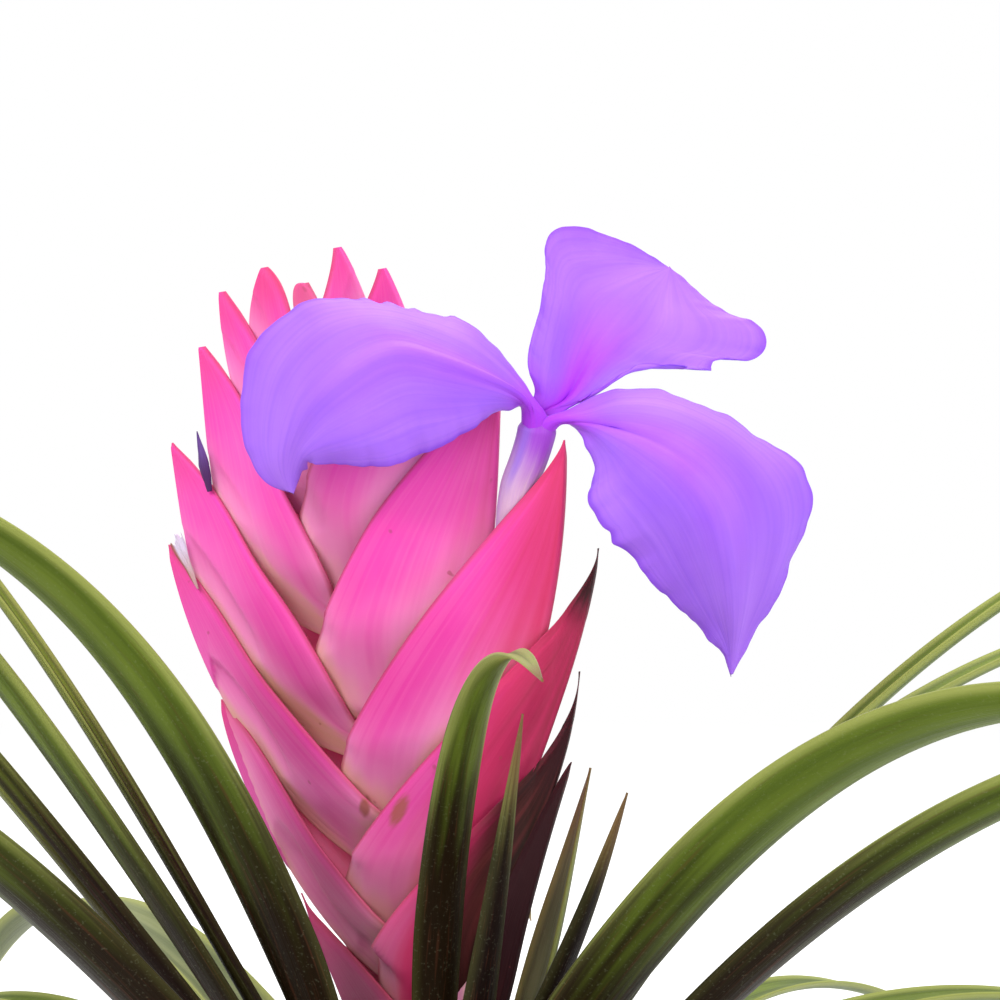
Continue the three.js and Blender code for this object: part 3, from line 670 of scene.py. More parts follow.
# a bract's own bulge: shut at its keel, full one keel reach inward, and flat toward its tip,
# less so where the flower stands in its fold
def ownDepth(k, points):
    distance, sign = distanceTo(bractLines[k][0], points)
    inside = np.where(sign * bractTable[k][0] > 0, distance, -distance)
    whole = spikeDepth(points)
    low = footHalf("footDepths", k)
    full = np.minimum(whole, mixed(low, whole, smooth((points[:, 1] - bractFoot(k)) / 12)))
    rounding = 1 - np.clip(1 - np.maximum(inside, 0) / spikeShape["keelReach"], 0, 1) ** 1.5
    toTip = np.linalg.norm(points - np.array(bractTable[k][1]), axis=1)
    tipFlat = spikeShape["openTipFlat" if k == spikeShape["flowerBract"] else "tipFlat"]
    rounding = rounding * mixed(spikeShape["tipShare"], 1.0, smooth(toTip / tipFlat))
    return spikeShape["keelHalf"] + (full - spikeShape["keelHalf"]) * rounding, inside


# depth of bract k, held one step under each lower bract that covers it; also how near the
# point is to the edge of a covering bract, 1 underneath it and falling beyond it
def bractDepth(k, points):
    shape = spikeShape
    fall = shape["coverFall"]
    limit = np.full(len(points), 1e3)
    nearCover = np.zeros(len(points))
    for i in range(k + 1):
        own, inside = ownDepth(i, points)
        depth = np.minimum(own, limit)
        if i == k:
            return np.maximum(depth, shape["leastDepth"]), nearCover
        distance, sign = distanceTo(bractLines[i][1], points)
        beyond = np.where(sign * bractTable[i][0] > 0, distance, -distance)
        covered = (1 - smooth((beyond - 1.0) / fall)) * smooth(inside + 0.5)
        limit = np.minimum(limit, depth - shape["step"] * covered + fall * (1 - covered) ** 2)
        if k - i <= len(shape["nearLengths"]):
            close = np.exp(-np.maximum(beyond, 0) / shape["nearLengths"][k - i - 1])
            nearCover = np.maximum(nearCover, close * smooth((inside + 2.0) / 2.0))


# Bract: each row runs from the margin over the keel to the far margin; the back half mirrors
# the front half and is narrower toward the tip, and the sheet thins toward the free margin
def bractGrids(k):
    shape = spikeShape
    rows, halfColumns = shape["rows"], shape["halfColumns"]
    keel, margin = bractCurves(k)
    share = 1 - (1 - np.linspace(0, 1, rows + 1)) ** 1.25
    onKeel = bezier(keel, share)
    onMargin = bezier(margin, share)
    width = np.linalg.norm(onMargin - onKeel, axis=1)
    pinch = np.minimum(shape["thickness"] / np.maximum(width, 1e-6), 0.6)
    j = np.arange(-halfColumns, halfColumns + 1)
    q = np.maximum((np.abs(j) / halfColumns) ** 1.15, 0.004)
    face = np.where(j <= 0, 1.0, -1.0)
    middle = j == 0
    narrowing = shape["backNarrowing"]
    backShare = np.where(j <= 0, 1.0, 1 - narrowing * smooth((share[:, None] - 0.45) / 0.4))

    def place(s):
        return onKeel[:, None] + (onMargin - onKeel)[:, None] * (s * backShare)[..., None]

    outPlace = place(np.broadcast_to(q, (rows + 1, len(j))))
    depth, near = bractDepth(k, outPlace.reshape(-1, 2))
    depth = depth.reshape(rows + 1, -1)
    near = near.reshape(rows + 1, -1)
    toMargin = (1 - q)[None] * width[:, None]
    thinning = 1 - smooth(toMargin / shape["edgeWidth"])
    outDepth = np.maximum(depth - shape["edgeThinning"] * thinning, 0.12)
    innerShare = np.where(middle, pinch[:, None], np.maximum(q[None], pinch[:, None]))
    inPlace = place(innerShare)
    inDepth = np.maximum(depth - shape["thickness"] - 0.08 * thinning, 0.08)
    outer = spikePoint(outPlace[..., 0], outPlace[..., 1], np.where(middle, 0.0, face * outDepth))
    inner = spikePoint(inPlace[..., 0], inPlace[..., 1], np.where(middle, 0.0, face * inDepth))
    tip = np.array(bractTable[k][1])
    toKeel = q[None] * width[:, None]
    amount, reach = keelBrownShadeShare.get(k, (0.0, 1.0))
    bruised = np.zeros_like(near)
    for x, z, wide, high, slant in bruises:
        up = outer[..., 2] - z
        aside = outer[..., 0] - x - slant * up
        spot = np.exp(-((aside / wide) ** 2) - (up / high) ** 2)
        bruised = np.maximum(bruised, spot * (outer[..., 1] < 0))
    near = near * (0.85 if k >= 11 else 1.0)  # the top bracts are less pale at the cover
    values = {
        "nearCover": (near, 0.35 * near),
        "browned": amount * (1 - smooth(toKeel / reach)),
        "shaded": 0.75 * smooth((30 - outPlace[..., 1]) / 42),
        "upper": smooth((outPlace[..., 1] - 34) / 28),
        "redTip": redTipShare.get(k, usualRedTip),
        "bruised": (bruised, 0.0),
        "toMargin": toMargin,
        "toTip": np.linalg.norm(outPlace - tip, axis=-1),
        "darkTip": bractTable[k][6],
        "inside": (0.0, 1.0),
    }
    return outer, inner, values


# colours, in pairs where they change from the lower to the upper bracts or over a pattern
bractSkin = {
    # the upper colour of the lower, upper and margin pairs is the lighter one: painted light on the upper
    # bracts, where more light falls
    "lower": ((0.72, 0.085, 0.38), (0.64, 0.040, 0.30)),
    "upper": ((0.84, 0.100, 0.46), (0.78, 0.052, 0.39)),
    "margin": ((0.62, 0.026, 0.26), (0.80, 0.040, 0.38)),
    # pale pink where a bract comes out from under the next: its own paler base, made lighter still as painted
    # light against the shade under the covering margin
    "pale": (0.84, 0.30, 0.53),
    "vein": (0.86, 0.30, 0.52),
    "inside": (0.80, 0.24, 0.40),
    # painted shade toward the foot of the spike: a lighter and a heavier rose-brown
    "rose": ((0.58, 0.165, 0.19), (0.24, 0.058, 0.058)),
    "straw": ((0.58, 0.36, 0.16), (0.90, 0.52, 0.47)),
    "rim": (0.46, 0.050, 0.090),
    "keel": (0.52, 0.025, 0.110),
    "brownShade": ((0.023, 0.008, 0.006), (0.095, 0.017, 0.018)),
    "darkTip": (0.030, 0.006, 0.009),
    "redTip": (0.62, 0.045, 0.12),
    "bruise": (0.30, 0.085, 0.040),
    "fleck": (0.30, 0.05, 0.06),
    "bump": (0.22, 0.0005),
    "finish": {
        "Specular IOR Level": 0.18,
        "Subsurface Weight": 0.12,
        "Subsurface Radius": (1.0, 0.35, 0.5),
        "Subsurface Scale": 0.0015,
    },
}


# Bract skin: hot pink, deeper at the margin side, with painted light making the upper bracts lighter,
# pale pink and then straw where it comes out from under the next bract (the pale partly painted light),
# fine lengthwise veins, painted shade in rose-brown toward the foot, a thin dark margin line,
# reddened and browned from the lowest keels with painted shade in part of the near-black, dark or red tips,
# bruises and flecks
def bractMaterial():
    skin = bractSkin
    material, tree, shader = newMaterial("bractPink")
    streak, _ = streakNode(tree, 14.0, 1.6, 1.0)
    veins, _ = streakNode(tree, 52.0, 1.4, 5.0)
    patch, speck = patchNode(tree, 60.0, 420.0)
    names = ("nearCover", "toMargin", "toTip", "darkTip", "browned", "shaded", "upper")
    near, toMargin, toTip, darkTip, browned, shaded, upper = (attributeNode(tree, name) for name in names)
    mottle = stepNode(tree, patch, 0.3, 0.72)
    # lower to upper bracts: lighter toward the top as painted light
    color = mixNode(tree, upper, mixNode(tree, mottle, *skin["lower"]), mixNode(tree, mottle, *skin["upper"]))
    margin = mixNode(tree, upper, *skin["margin"])
    color = tintNode(tree, color, fallNode(tree, toMargin, 0.5, 8.0), 0.6, margin)
    # the pale zone under the covering margins: real paler colour, partly painted light
    paleAmount = wanderNode(tree, near, streak, 0.3)
    color = tintNode(tree, color, stepNode(tree, paleAmount, 0.14, 0.95), 0.8, skin["pale"])
    color = tintNode(tree, color, stepNode(tree, veins, 0.38, 0.66), 0.10, skin["vein"])
    color = tintNode(tree, color, attributeNode(tree, "inside"), 0.75, skin["inside"])
    # painted shade: rose-brown darkening toward the foot of the spike, by the shaded value
    rose = mixNode(tree, stepNode(tree, shaded, 0.25, 0.7), *skin["rose"])
    color = tintNode(tree, color, shaded, 0.95, rose)
    strawFrom = mathNode(tree, "MULTIPLY_ADD", upper, 0.22, 0.62)
    strawAmount = stepNode(tree, paleAmount, strawFrom, 1.12)
    strawAmount = timesNode(tree, strawAmount, mathNode(tree, "SUBTRACT", 1.0, shaded))
    color = tintNode(tree, color, strawAmount, 0.75, mixNode(tree, upper, *skin["straw"]))
    color = tintNode(tree, color, fallNode(tree, toMargin, 0.1, 0.8), 0.6, skin["rim"])
    keelSide = timesNode(tree, wanderNode(tree, browned, streak, 0.3), stepNode(tree, browned, 0.0, 0.1))
    color = mixNode(tree, stepNode(tree, keelSide, 0.0, 0.5), color, skin["keel"])
    # keels turning near-black: real reddening and browning, partly painted shade
    brownShade = mixNode(tree, stepNode(tree, streak, 0.35, 0.7), *skin["brownShade"])
    color = mixNode(tree, stepNode(tree, keelSide, 0.42, 0.85), color, brownShade)
    darkTo = mathNode(tree, "MULTIPLY_ADD", darkTip, 1.25, 0.05)
    dark = fallNode(tree, wanderNode(tree, toTip, streak, 6.0), timesNode(tree, darkTip, 0.55), darkTo)
    dark = timesNode(tree, dark, stepNode(tree, darkTip, 0.3, 1.0))
    color = mixNode(tree, dark, color, skin["darkTip"])
    redTip = timesNode(tree, fallNode(tree, toTip, 1.0, 10.0), mathNode(tree, "SUBTRACT", 1.0, dark))
    color = tintNode(tree, color, redTip, attributeNode(tree, "redTip"), skin["redTip"])
    bruise = wanderNode(tree, attributeNode(tree, "bruised"), patch, 0.5)
    color = tintNode(tree, color, stepNode(tree, bruise, 0.35, 0.8), 0.8, skin["bruise"])
    color = tintNode(tree, color, stepNode(tree, speck, 0.765, 0.80), 0.5, skin["fleck"])
    rough = mathNode(tree, "MULTIPLY_ADD", veins, 0.16, 0.42)
    height = mathNode(tree, "ADD", timesNode(tree, veins, 0.5), timesNode(tree, streak, 0.7))
    finishSkin(tree, shader, skin, color, rough, height)
    return material


pinkSkin = bractMaterial()
for k in range(len(bractTable)):
    makeSheet(f"bract_{k + 1:02d}", *bractGrids(k), pinkSkin, "bract_pink", "flower_spike")

# stalk inside the bracts: an oval ring at each bract's foot
around = np.linspace(0, 2 * np.pi, 24, endpoint=False)
coreRings = []
for k in range(len(bractTable)):
    halfWide, halfDeep = footHalf("footWidths", k) + 0.3, footHalf("footDepths", k) - 0.1
    height = bractFoot(k) + (0.0 if k == 0 else 0.5)
    coreRings.append(spikePoint(halfWide * np.cos(around), height, halfDeep * np.sin(around)))
# the stalk is coloured as the upper bracts are where they come out, far from margin and tip, with no foot
# shade: this pale colour is also painted light in the shaded gaps between the bracts
coreValues = {"nearCover": 1.0, "toMargin": 9.0, "toTip": 60.0, "upper": 1.0}
makeRings("spike_axis", np.array(coreRings), coreValues, pinkSkin, "bract_pink", "flower_spike")
print("spike made")


# Flower: tube centre line as x, toward the viewer, z and radius, foot to throat
flowerShape = {
    "tube": [(9.7, 9.4, 96.1, 1.0), (10.3, 9.8, 98.7, 1.5), (11.1, 10.3, 102.0, 1.75),
             (12.3, 10.8, 105.0, 1.9), (13.2, 11.2, 108.0, 1.95), (13.5, 11.5, 110.2, 2.05)],
    "clawInset": 0.8,
    "tubeSkin": 0.30,
    "throatDive": 0.75,
    "thickness": 0.5,
    "edgeHalf": 0.07,
    "ripples": ((4, 0.26), (7, 0.16), (13, 0.07), (23, 0.04)),
    "foldHeight": 0.16,
    "softReach": 8,
    "softWidth": 3.2,
    "clawRows": 24,
    "bladeRows": 150,
    "columns": 64,
}

# each petal: where its claw stands on the tube and how far it reaches to both sides, the strength
# of its glow, its middle crease (depth, width), the lobes and notches of its edges (edge, share,
# width, size), and three lines from the throat to the tip
petalTable = {
    "petal_left": {
        "angle": 15,
        "reach": -78,
        "glow": 0.3,
        "crease": (0.6, 0.07),
        "frills": [(-1, 0.27, 0.010, 0.5), (-1, 0.34, 0.010, 0.5), (-1, 0.41, 0.010, -0.7),
                   (-1, 0.435, 0.010, 0.5), (1, 0.86, 0.012, -0.5), (1, 0.90, 0.015, 0.5)],
        "left": [(13.5, 12.6, 111.5), (12.6, 11.8, 113), (11, 11, 115.1), (6.7, 12, 119.7),
                 (2, 12, 122), (-2, 12, 122.8), (-7.6, 11, 123.4), (-13.2, 10, 123.6),
                 (-17.3, 9, 121.3), (-20.3, 8.5, 116.9), (-21.5, 8.5, 110.8), (-20.6, 9, 105.2),
                 (-18, 9, 102.1), (-15.2, 10, 101.1)],
        "middle": [(12.2, 13.9, 111.8), (8.1, 17, 114.4), (2.1, 19, 116.8), (-2.9, 19.5, 118),
                   (-7.1, 19, 116.3), (-10.5, 18, 113.7), (-13.1, 16, 110.9), (-15.2, 13, 106.6),
                   (-15.8, 11, 103.4), (-15.2, 10, 101.1)],
        "right": [(11.4, 12.8, 111.7), (8.4, 15, 110.6), (4.6, 16.5, 108.5), (0.4, 17, 106.1),
                  (-4.8, 17, 104.7), (-10.1, 15.5, 104.7), (-13, 13, 104.9), (-14.1, 11, 103.6),
                  (-15.2, 10, 101.1)],
    },
    "petal_right": {
        "angle": -60,
        "reach": 66,
        "glow": 0.4,
        "crease": (0.45, 0.10),
        "frills": [(1, 0.24, 0.020, 0.4), (1, 0.40, 0.012, -0.4), (1, 0.43, 0.012, 0.4),
                   (-1, 0.62, 0.020, 0.3)],
        "left": [(18.9, 11, 111.6), (22.1, 11, 113.5), (27.7, 11, 113.5), (32.9, 11, 111.2),
                 (38.8, 11, 108.3), (43.4, 11, 105.3), (45.4, 10, 101.2), (44.6, 9, 96.1),
                 (42.6, 8, 90.7), (39.8, 7, 85.9), (38.1, 6.5, 82.2), (36.4, 6, 79.1)],
        "middle": [(19.4, 14, 109.5), (22.8, 17, 109), (27.3, 20, 107.6), (31.2, 22, 105.1),
                   (34.3, 21, 101.1), (36, 18, 95.7), (36.6, 13, 88.8), (36.6, 8, 83), (36.4, 6, 79.1)],
        "right": [(18.2, 12, 108.6), (19.5, 13, 106.3), (19.8, 14, 102.9), (19.2, 15, 100.6),
                  (22.3, 16, 96.1), (26.4, 15, 91.7), (31.2, 12, 86.6), (35, 8, 82.6), (36.4, 6, 79.1)],
    },
    "petal_upper": {
        "angle": 180,
        "reach": -66,
        "glow": 1.0,
        "crease": (0.5, 0.08),
        "frills": [(1, 0.40, 0.012, -0.4), (1, 0.44, 0.022, 0.9), (1, 0.49, 0.012, -0.3)],
        "left": [(13.3, 9, 112.9), (12.2, 9, 115.7), (12.6, 8, 119), (13.7, 7, 122.7), (14.4, 6, 126.6),
                 (14.3, 5, 130.1), (15.6, 4, 132.1), (19.7, 3.5, 131.9), (24.2, 3, 130.3),
                 (27.4, 2.5, 128.5), (29.2, 1.5, 127.4)],
        "middle": [(16.7, 9.5, 112.2), (19.3, 9, 117), (21.8, 7.5, 120.6), (24.9, 5.5, 123.9),
                   (27.4, 3.5, 126), (29.2, 1.5, 127.4)],
        "right": [(17.8, 10, 111.6), (20.7, 10.5, 113.4), (25.9, 10, 116), (30.3, 9, 116.2),
                  (32.7, 8, 115), (34.2, 7.5, 116.5), (38.7, 6.5, 116.5), (40.6, 6, 118.3),
                  (39.4, 5, 120.6), (35.3, 4, 122.4), (31.8, 2.5, 125.3), (29.2, 1.5, 127.4)],
    },
}


# points given as x, toward the viewer and z
def placed(points):
    p = np.asarray(points, float)
    return np.stack([p[:, 0], -p[:, 1], p[:, 2]], axis=1)


tubeCentres = placed([p[:3] for p in flowerShape["tube"]])
tubeRadii = np.array([p[3] for p in flowerShape["tube"]])


# the front and left directions square to the tube's line
def tubeSides(along):
    axis = unit(along)
    front = unit(toViewer - axis * (axis @ toViewer)[:, None])
    left = np.cross(front, axis)
    return front, np.where(left[:, :1] > 0, -left, left)


# a claw's line up the inside of the tube, by its angle counted from the viewer's side; it comes
# out through the skin at the throat
def tubePoints(angle):
    before = np.vstack([tubeCentres[:1], tubeCentres[:-1]])
    after = np.vstack([tubeCentres[1:], tubeCentres[-1:]])
    front, left = tubeSides(after - before)
    a = math.radians(angle)
    radii = tubeRadii * np.append(np.full(len(tubeRadii) - 1, flowerShape["clawInset"]), 1.0)
    return tubeCentres + radii[:, None] * (front * math.cos(a) + left * math.sin(a))


# a line of points averaged over its neighbours by a bell curve, except at its ends
def softened(part):
    reach = flowerShape["softReach"]
    weight = np.exp(-0.5 * (np.arange(-reach, reach + 1) / flowerShape["softWidth"]) ** 2)
    weight = weight / weight.sum()
    padded = np.vstack([np.repeat(part[:1], reach, axis=0), part, np.repeat(part[-1:], reach, axis=0)])
    soft = np.stack([np.convolve(padded[:, i], weight, mode="valid") for i in range(3)], axis=1)
    place = np.arange(len(part))
    ends = smooth(place / 10) * smooth((len(part) - 1 - place) / 10)
    return mixed(part, soft, ends[:, None])


# Petal: row by row a parabola through the left, middle and right lines, with ripples that grow
# toward the edge and a soft crease along the middle
def petalGrids(name, seed):
    shape = flowerShape
    petal = petalTable[name]
    clawRows, bladeRows, columns = shape["clawRows"], shape["bladeRows"], shape["columns"]

    def line(key, offset):
        claw = tubePoints(petal["angle"] + offset)
        first = evenCurve(claw, clawRows)
        rest = evenCurve(np.vstack([claw[-1:], placed(petal[key])]), bladeRows)
        return np.vstack([first[:clawRows], rest])

    left = softened(line("left", petal["reach"]))
    middle = softened(line("middle", 0.0))
    right = softened(line("right", -petal["reach"]))
    left[-1, 0] -= 0.05
    right[-1, 0] += 0.05
    spread = 0.48 * math.pi
    q = (np.sin(np.linspace(-spread, spread, columns + 1)) / math.sin(spread))[None, :, None]
    a, m, b = left[:, None], middle[:, None], right[:, None]
    grid = m + q * (b - a) / 2 + q**2 * ((b + a) / 2 - m)
    normal = gridNormals(grid)
    share = np.clip((np.arange(len(middle)) - clawRows) / bladeRows, 0, 1)[:, None]
    side = q[..., 0]
    rng = np.random.default_rng(seed)
    ripple = np.zeros(grid.shape[:2])
    for count, size in shape["ripples"]:
        phase = rng.uniform(0, 2 * np.pi, 2)
        ripple += size * np.sin(count * 2 * np.pi * share + np.where(side < 0, *phase))
    ripple *= np.abs(side) ** 5 * smooth(share / 0.15) * smooth((1 - share) / 0.08)
    folds = shape["foldHeight"] * np.sin(side * 7.0 + 3.0 * share + seed)
    folds = folds * smooth(share / 0.2) * smooth((1 - share) / 0.2)
    depth, width = petal["crease"]
    crease = -depth * np.exp(-((side / width) ** 2)) * smooth(share / 0.06) * smooth((0.9 - share) / 0.5)
    grid = grid + normal * (ripple + folds + crease)[..., None]
    bump = np.zeros(grid.shape[:2])
    for edge, place, width, size in petal["frills"]:
        bump += size * np.exp(-(((share - place) / width) ** 2)) * (side * edge > 0)
    outward = unit(np.where(q < 0, a - m, b - m))
    grid = grid + outward * (bump * np.abs(side) ** 8)[..., None]
    normal = gridNormals(grid)
    thin = shape["edgeHalf"]
    body = thin + (shape["thickness"] / 2 - thin) * (1 - np.abs(side) ** 6) * np.ones_like(share)
    claw = np.clip(np.arange(len(middle)) / clawRows, 0, 1)[:, None]
    values = {"alongBlade": share, "clawShare": claw, "acrossBlade": side}
    return grid + normal * body[..., None], grid - normal * body[..., None], values


petalSkin = {
    "violet": ((0.262, 0.088, 0.68), (0.365, 0.145, 0.75)),
    "patch": (0.43, 0.20, 0.86),
    "glow": (0.37, 0.032, 0.70),
    "mouth": (0.34, 0.018, 0.60),
    "vein": (0.18, 0.065, 0.66),
    "edge": (0.17, 0.040, 0.62),
    "throat": (0.28, 0.045, 0.48),
    "bump": (0.25, 0.0004),
    "finish": {
        "Specular IOR Level": 0.15,
        "Subsurface Weight": 0.2,
        "Subsurface Radius": (0.6, 0.4, 1.0),
        "Subsurface Scale": 0.0012,
    },
}


# Petal skin: even violet with faint fanning veins and deeper at the edge, a magenta glow along
# the middle, and a deep mouth and throat
def petalMaterial(name, glow):
    skin = petalSkin
    material, tree, shader = newMaterial(name)
    veins, _ = streakNode(tree, 46.0, 2.0, 2.0)
    broad, _ = streakNode(tree, 5.0, 1.5, 6.0)
    patch, speck = patchNode(tree, 55.0, 1500.0)
    along = attributeNode(tree, "alongBlade")
    across = mathNode(tree, "ABSOLUTE", attributeNode(tree, "acrossBlade"))
    color = mixNode(tree, stepNode(tree, broad, 0.25, 0.75), *skin["violet"])
    color = tintNode(tree, color, stepNode(tree, patch, 0.4, 0.75), 0.35, skin["patch"])
    middle = timesNode(tree, fallNode(tree, across, 0.02, 0.5), fallNode(tree, along, 0.1, 0.8))
    color = tintNode(tree, color, middle, glow, skin["glow"])
    color = tintNode(tree, color, fallNode(tree, along, 0.0, 0.12 + 0.14 * glow), 0.85, skin["mouth"])
    color = tintNode(tree, color, stepNode(tree, veins, 0.44, 0.64), 0.14, skin["vein"])
    color = tintNode(tree, color, stepNode(tree, across, 0.94, 1.0), 0.55, skin["edge"])
    throat = fallNode(tree, attributeNode(tree, "clawShare"), 0.6, 1.0)
    color = tintNode(tree, color, throat, 0.8, skin["throat"])
    rough = mathNode(tree, "MULTIPLY_ADD", veins, 0.15, 0.45)
    height = mathNode(tree, "ADD", timesNode(tree, veins, 0.7), timesNode(tree, speck, 0.12))
    finishSkin(tree, shader, skin, color, rough, height)
    return material


for seed, (name, petal) in enumerate(petalTable.items(), 4):  # 4, 5 and 6 seed the ripples
    violetSkin = petalMaterial(name.replace("petal_", "petalSkin"), petal["glow"])
    makeSheet(name, *petalGrids(name, seed), violetSkin, "petal_violet", "open_flower")


# Flower tube: a closed skin over the three claws that dives under the petals at the throat
def tubeRings(rows=70, sides=64):
    centres = evenCurve(tubeCentres, rows - 1)
    share = np.linspace(0, 1, rows)
    radius = np.interp(share, np.linspace(0, 1, len(tubeRadii)), tubeRadii)
    radius = radius + flowerShape["tubeSkin"] - flowerShape["throatDive"] * smooth((share - 0.88) / 0.12)
    front, left = tubeSides(np.gradient(centres, axis=0))
    angle = np.linspace(-np.pi, np.pi, sides, endpoint=False)[None, :]
    furrow = 1 - 0.035 * np.exp(-(((angle - 0.55) / 0.18) ** 2)) * smooth((share[:, None] - 0.2) / 0.3)
    ring = front[:, None] * np.cos(angle)[..., None] + left[:, None] * np.sin(angle)[..., None]
    rings = centres[:, None] + (radius[:, None] * furrow)[..., None] * ring
    inFurrow = np.exp(-(((angle - 0.6) / 0.3) ** 2))
    return rings, {"alongShare": share[:, None], "leftShare": np.sin(angle), "furrow": inFurrow}


tubeSkin = {
    "lengthwise": ((0.56, 0.34, 0.50), (0.28, 0.045, 0.48)),
    "furrow": (0.28, 0.15, 0.66),
    "leftSide": (0.38, 0.22, 0.64),
    "threads": (0.36, 0.14, 0.56),
    "bump": (0.25, 0.0004),
    "finish": {
        "Specular IOR Level": 0.2,
        "Subsurface Weight": 0.25,
        "Subsurface Radius": (0.8, 0.5, 1.0),
        "Subsurface Scale": 0.0012,
    },
}


# Tube skin: pinkish white at the foot, violet toward the throat, with a bluer furrow on the left
def tubeMaterial():
    skin = tubeSkin
    material, tree, shader = newMaterial("tubeSkin")
    streak, fine = streakNode(tree, 16.0, 1.2, 9.0)
    along = attributeNode(tree, "alongShare")
    left = attributeNode(tree, "leftShare")
    place = wanderNode(tree, along, streak, 0.24)
    place = mathNode(tree, "ADD", place, timesNode(tree, left, -0.08))
    color = mixNode(tree, stepNode(tree, place, 0.36, 0.86), *skin["lengthwise"])
    furrow = timesNode(tree, attributeNode(tree, "furrow"), stepNode(tree, along, 0.25, 0.6))
    color = tintNode(tree, color, furrow, 0.7, skin["furrow"])
    color = tintNode(tree, color, stepNode(tree, left, 0.55, 1.0), 0.4, skin["leftSide"])
    color = tintNode(tree, color, stepNode(tree, fine, 0.4, 0.7), 0.15, skin["threads"])
    finishSkin(tree, shader, skin, color, 0.42, streak)
    return material


makeRings("petal_tube", *tubeRings(), tubeMaterial(), "petal_violet", "open_flower")
print("flower made")


# Bud and spent flower: flat forms in front of the bracts on the left, given by their ends in the
# plane of the spike and their half widths along the length
wrapShape = {
    "bud": {
        # the bud's own dark violet, darker at the foot as painted shadow where it comes out from behind a
        # bract
        "foot": (0.07, 0.015, 0.09),
        "top": (0.13, 0.055, 0.26),
        "streak": (0.05, 0.015, 0.12),
        "edge": (0.17, 0.09, 0.25),
        "start": (-22.1, 61.6, 2.1),
        "end": (-22.9, 69.1, 1.4),
        "halfWidth": 0.8,
        "halfDepth": 0.33,
        "foldDepth": 0.14,
        "profile": ((0, 0.45), (0.25, 0.85), (0.45, 1.0), (0.7, 0.6), (1, 0.1)),
    },
    "spent": {
        "foot": (0.62, 0.36, 0.36),
        "top": (0.66, 0.56, 0.74),
        "streak": (0.55, 0.42, 0.50),
        "edge": (0.30, 0.09, 0.07),
        "start": (-26.9, 49.8, 1.5),
        "end": (-29.3, 57.2, 1.3),
        "halfWidth": 1.15,
        "halfDepth": 0.06,
        "profile": ((0, 0.12), (0.4, 0.5), (0.75, 0.95), (1, 1.05)),
    },
}


# ends, sideways and outward directions of a wrapped form
def wrapAxes(shape):
    start = spikePoint(*shape["start"])
    end = spikePoint(*shape["end"])
    axis = unit(end - start)
    side = unit(acrossAxis - axis * (acrossAxis @ axis))
    return start, end, side, np.cross(axis, side)


# Bud: flat spindle with spiral folds where the closed petals wrap each other
def budRings(rows=60, sides=48):
    shape = wrapShape["bud"]
    start, end, side, front = wrapAxes(shape)
    t = np.linspace(0, 1, rows)[:, None]
    width = np.interp(t, *np.transpose(shape["profile"]))
    angle = np.linspace(0, 2 * np.pi, sides, endpoint=False)[None, :]
    fold = 1 + shape["foldDepth"] * (np.abs(np.sin(1.5 * (angle + 4.4 * t))) - 0.85)
    across = shape["halfWidth"] * width * fold * np.cos(angle)
    through = shape["halfDepth"] * width * fold * np.sin(angle)
    spine = start + (end - start) * t
    rings = spine[:, None] + side * across[..., None] + front * through[..., None]
    return rings, {"alongShare": t}


# Spent flower: a thin crumpled skin with a torn upper edge
def spentGrids(rows=50, columns=36):
    shape = wrapShape["spent"]
    start, end, side, front = wrapAxes(shape)
    t = np.linspace(0, 1, rows + 1)[:, None]
    q = np.linspace(-1, 1, columns + 1)[None, :]
    torn = 0.87 + 0.06 * q + 0.05 * np.sin(5.0 * q + 1.0) + 0.04 * np.sin(13.0 * q) * np.cos(7.0 * q)
    reach = t * torn
    width = shape["halfWidth"] * np.interp(reach, *np.transpose(shape["profile"]))
    crumple = 0.09 * np.sin(9.0 * q + 3.0 * reach) * reach + 0.05 * np.sin(14.0 * reach + 4.0 * q)
    middle = start + (end - start) * reach[..., None]
    middle = middle + side * (width * q)[..., None] + front * crumple[..., None]
    half = shape["halfDepth"] * (1 - 0.5 * np.abs(q)) * np.ones_like(t)
    values = {"alongShare": reach, "leftShare": -q}
    return middle + front * half[..., None], middle - front * half[..., None], values


wrapSkin = {"bump": (0.5, 0.0005), "finish": {"Specular IOR Level": 0.2}}


# Wrap skin: from the foot's colour to the top's, streaked and blotched, with another left edge
def wrapMaterial(name, shape):
    material, tree, shader = newMaterial(name)
    streak, _ = streakNode(tree, 9.0, 2.0, 4.0)
    patch, _ = patchNode(tree, 260.0, 1800.0)
    upward = stepNode(tree, attributeNode(tree, "alongShare"), 0.2, 0.75)
    color = mixNode(tree, upward, shape["foot"], shape["top"])
    color = tintNode(tree, color, stepNode(tree, streak, 0.45, 0.65), 0.35, shape["streak"])
    color = tintNode(tree, color, stepNode(tree, patch, 0.5, 0.7), 0.3, shape["streak"])
    leftEdge = stepNode(tree, attributeNode(tree, "leftShare"), 0.45, 0.95)
    color = mixNode(tree, leftEdge, color, shape["edge"])
    finishSkin(tree, shader, wrapSkin, color, 0.55, streak)
    return material


budSkin = wrapMaterial("budViolet", wrapShape["bud"])
makeRings("bud_wrap", *budRings(), budSkin, "bud_violet", "flower_bud")
spentSkin = wrapMaterial("fadedPetal", wrapShape["spent"])
makeSheet("spent_wrap", *spentGrids(), spentSkin, "faded_petal", "spent_flower")
print("bud and spent flower made")


# Stem: profile as share, height and radius from the flat cut up; scars of old leaves ring it
stemShape = {
    "profile": [(0, 0, 15.4), (0.12, 2.0, 16.4), (0.9, 18.8, 3.9), (1.0, 20.0, 3.2)],
    "inset": 0.1,
    "scars": 9,
    "scarDepth": 0.16,
    "grainDepth": 0.10,
}
stemSkin = {
    "bark": ((0.10, 0.060, 0.028), (0.27, 0.20, 0.10)),
    "blotch": (0.05, 0.030, 0.018),
    "bump": (0.7, 0.001),
    "finish": {},
}


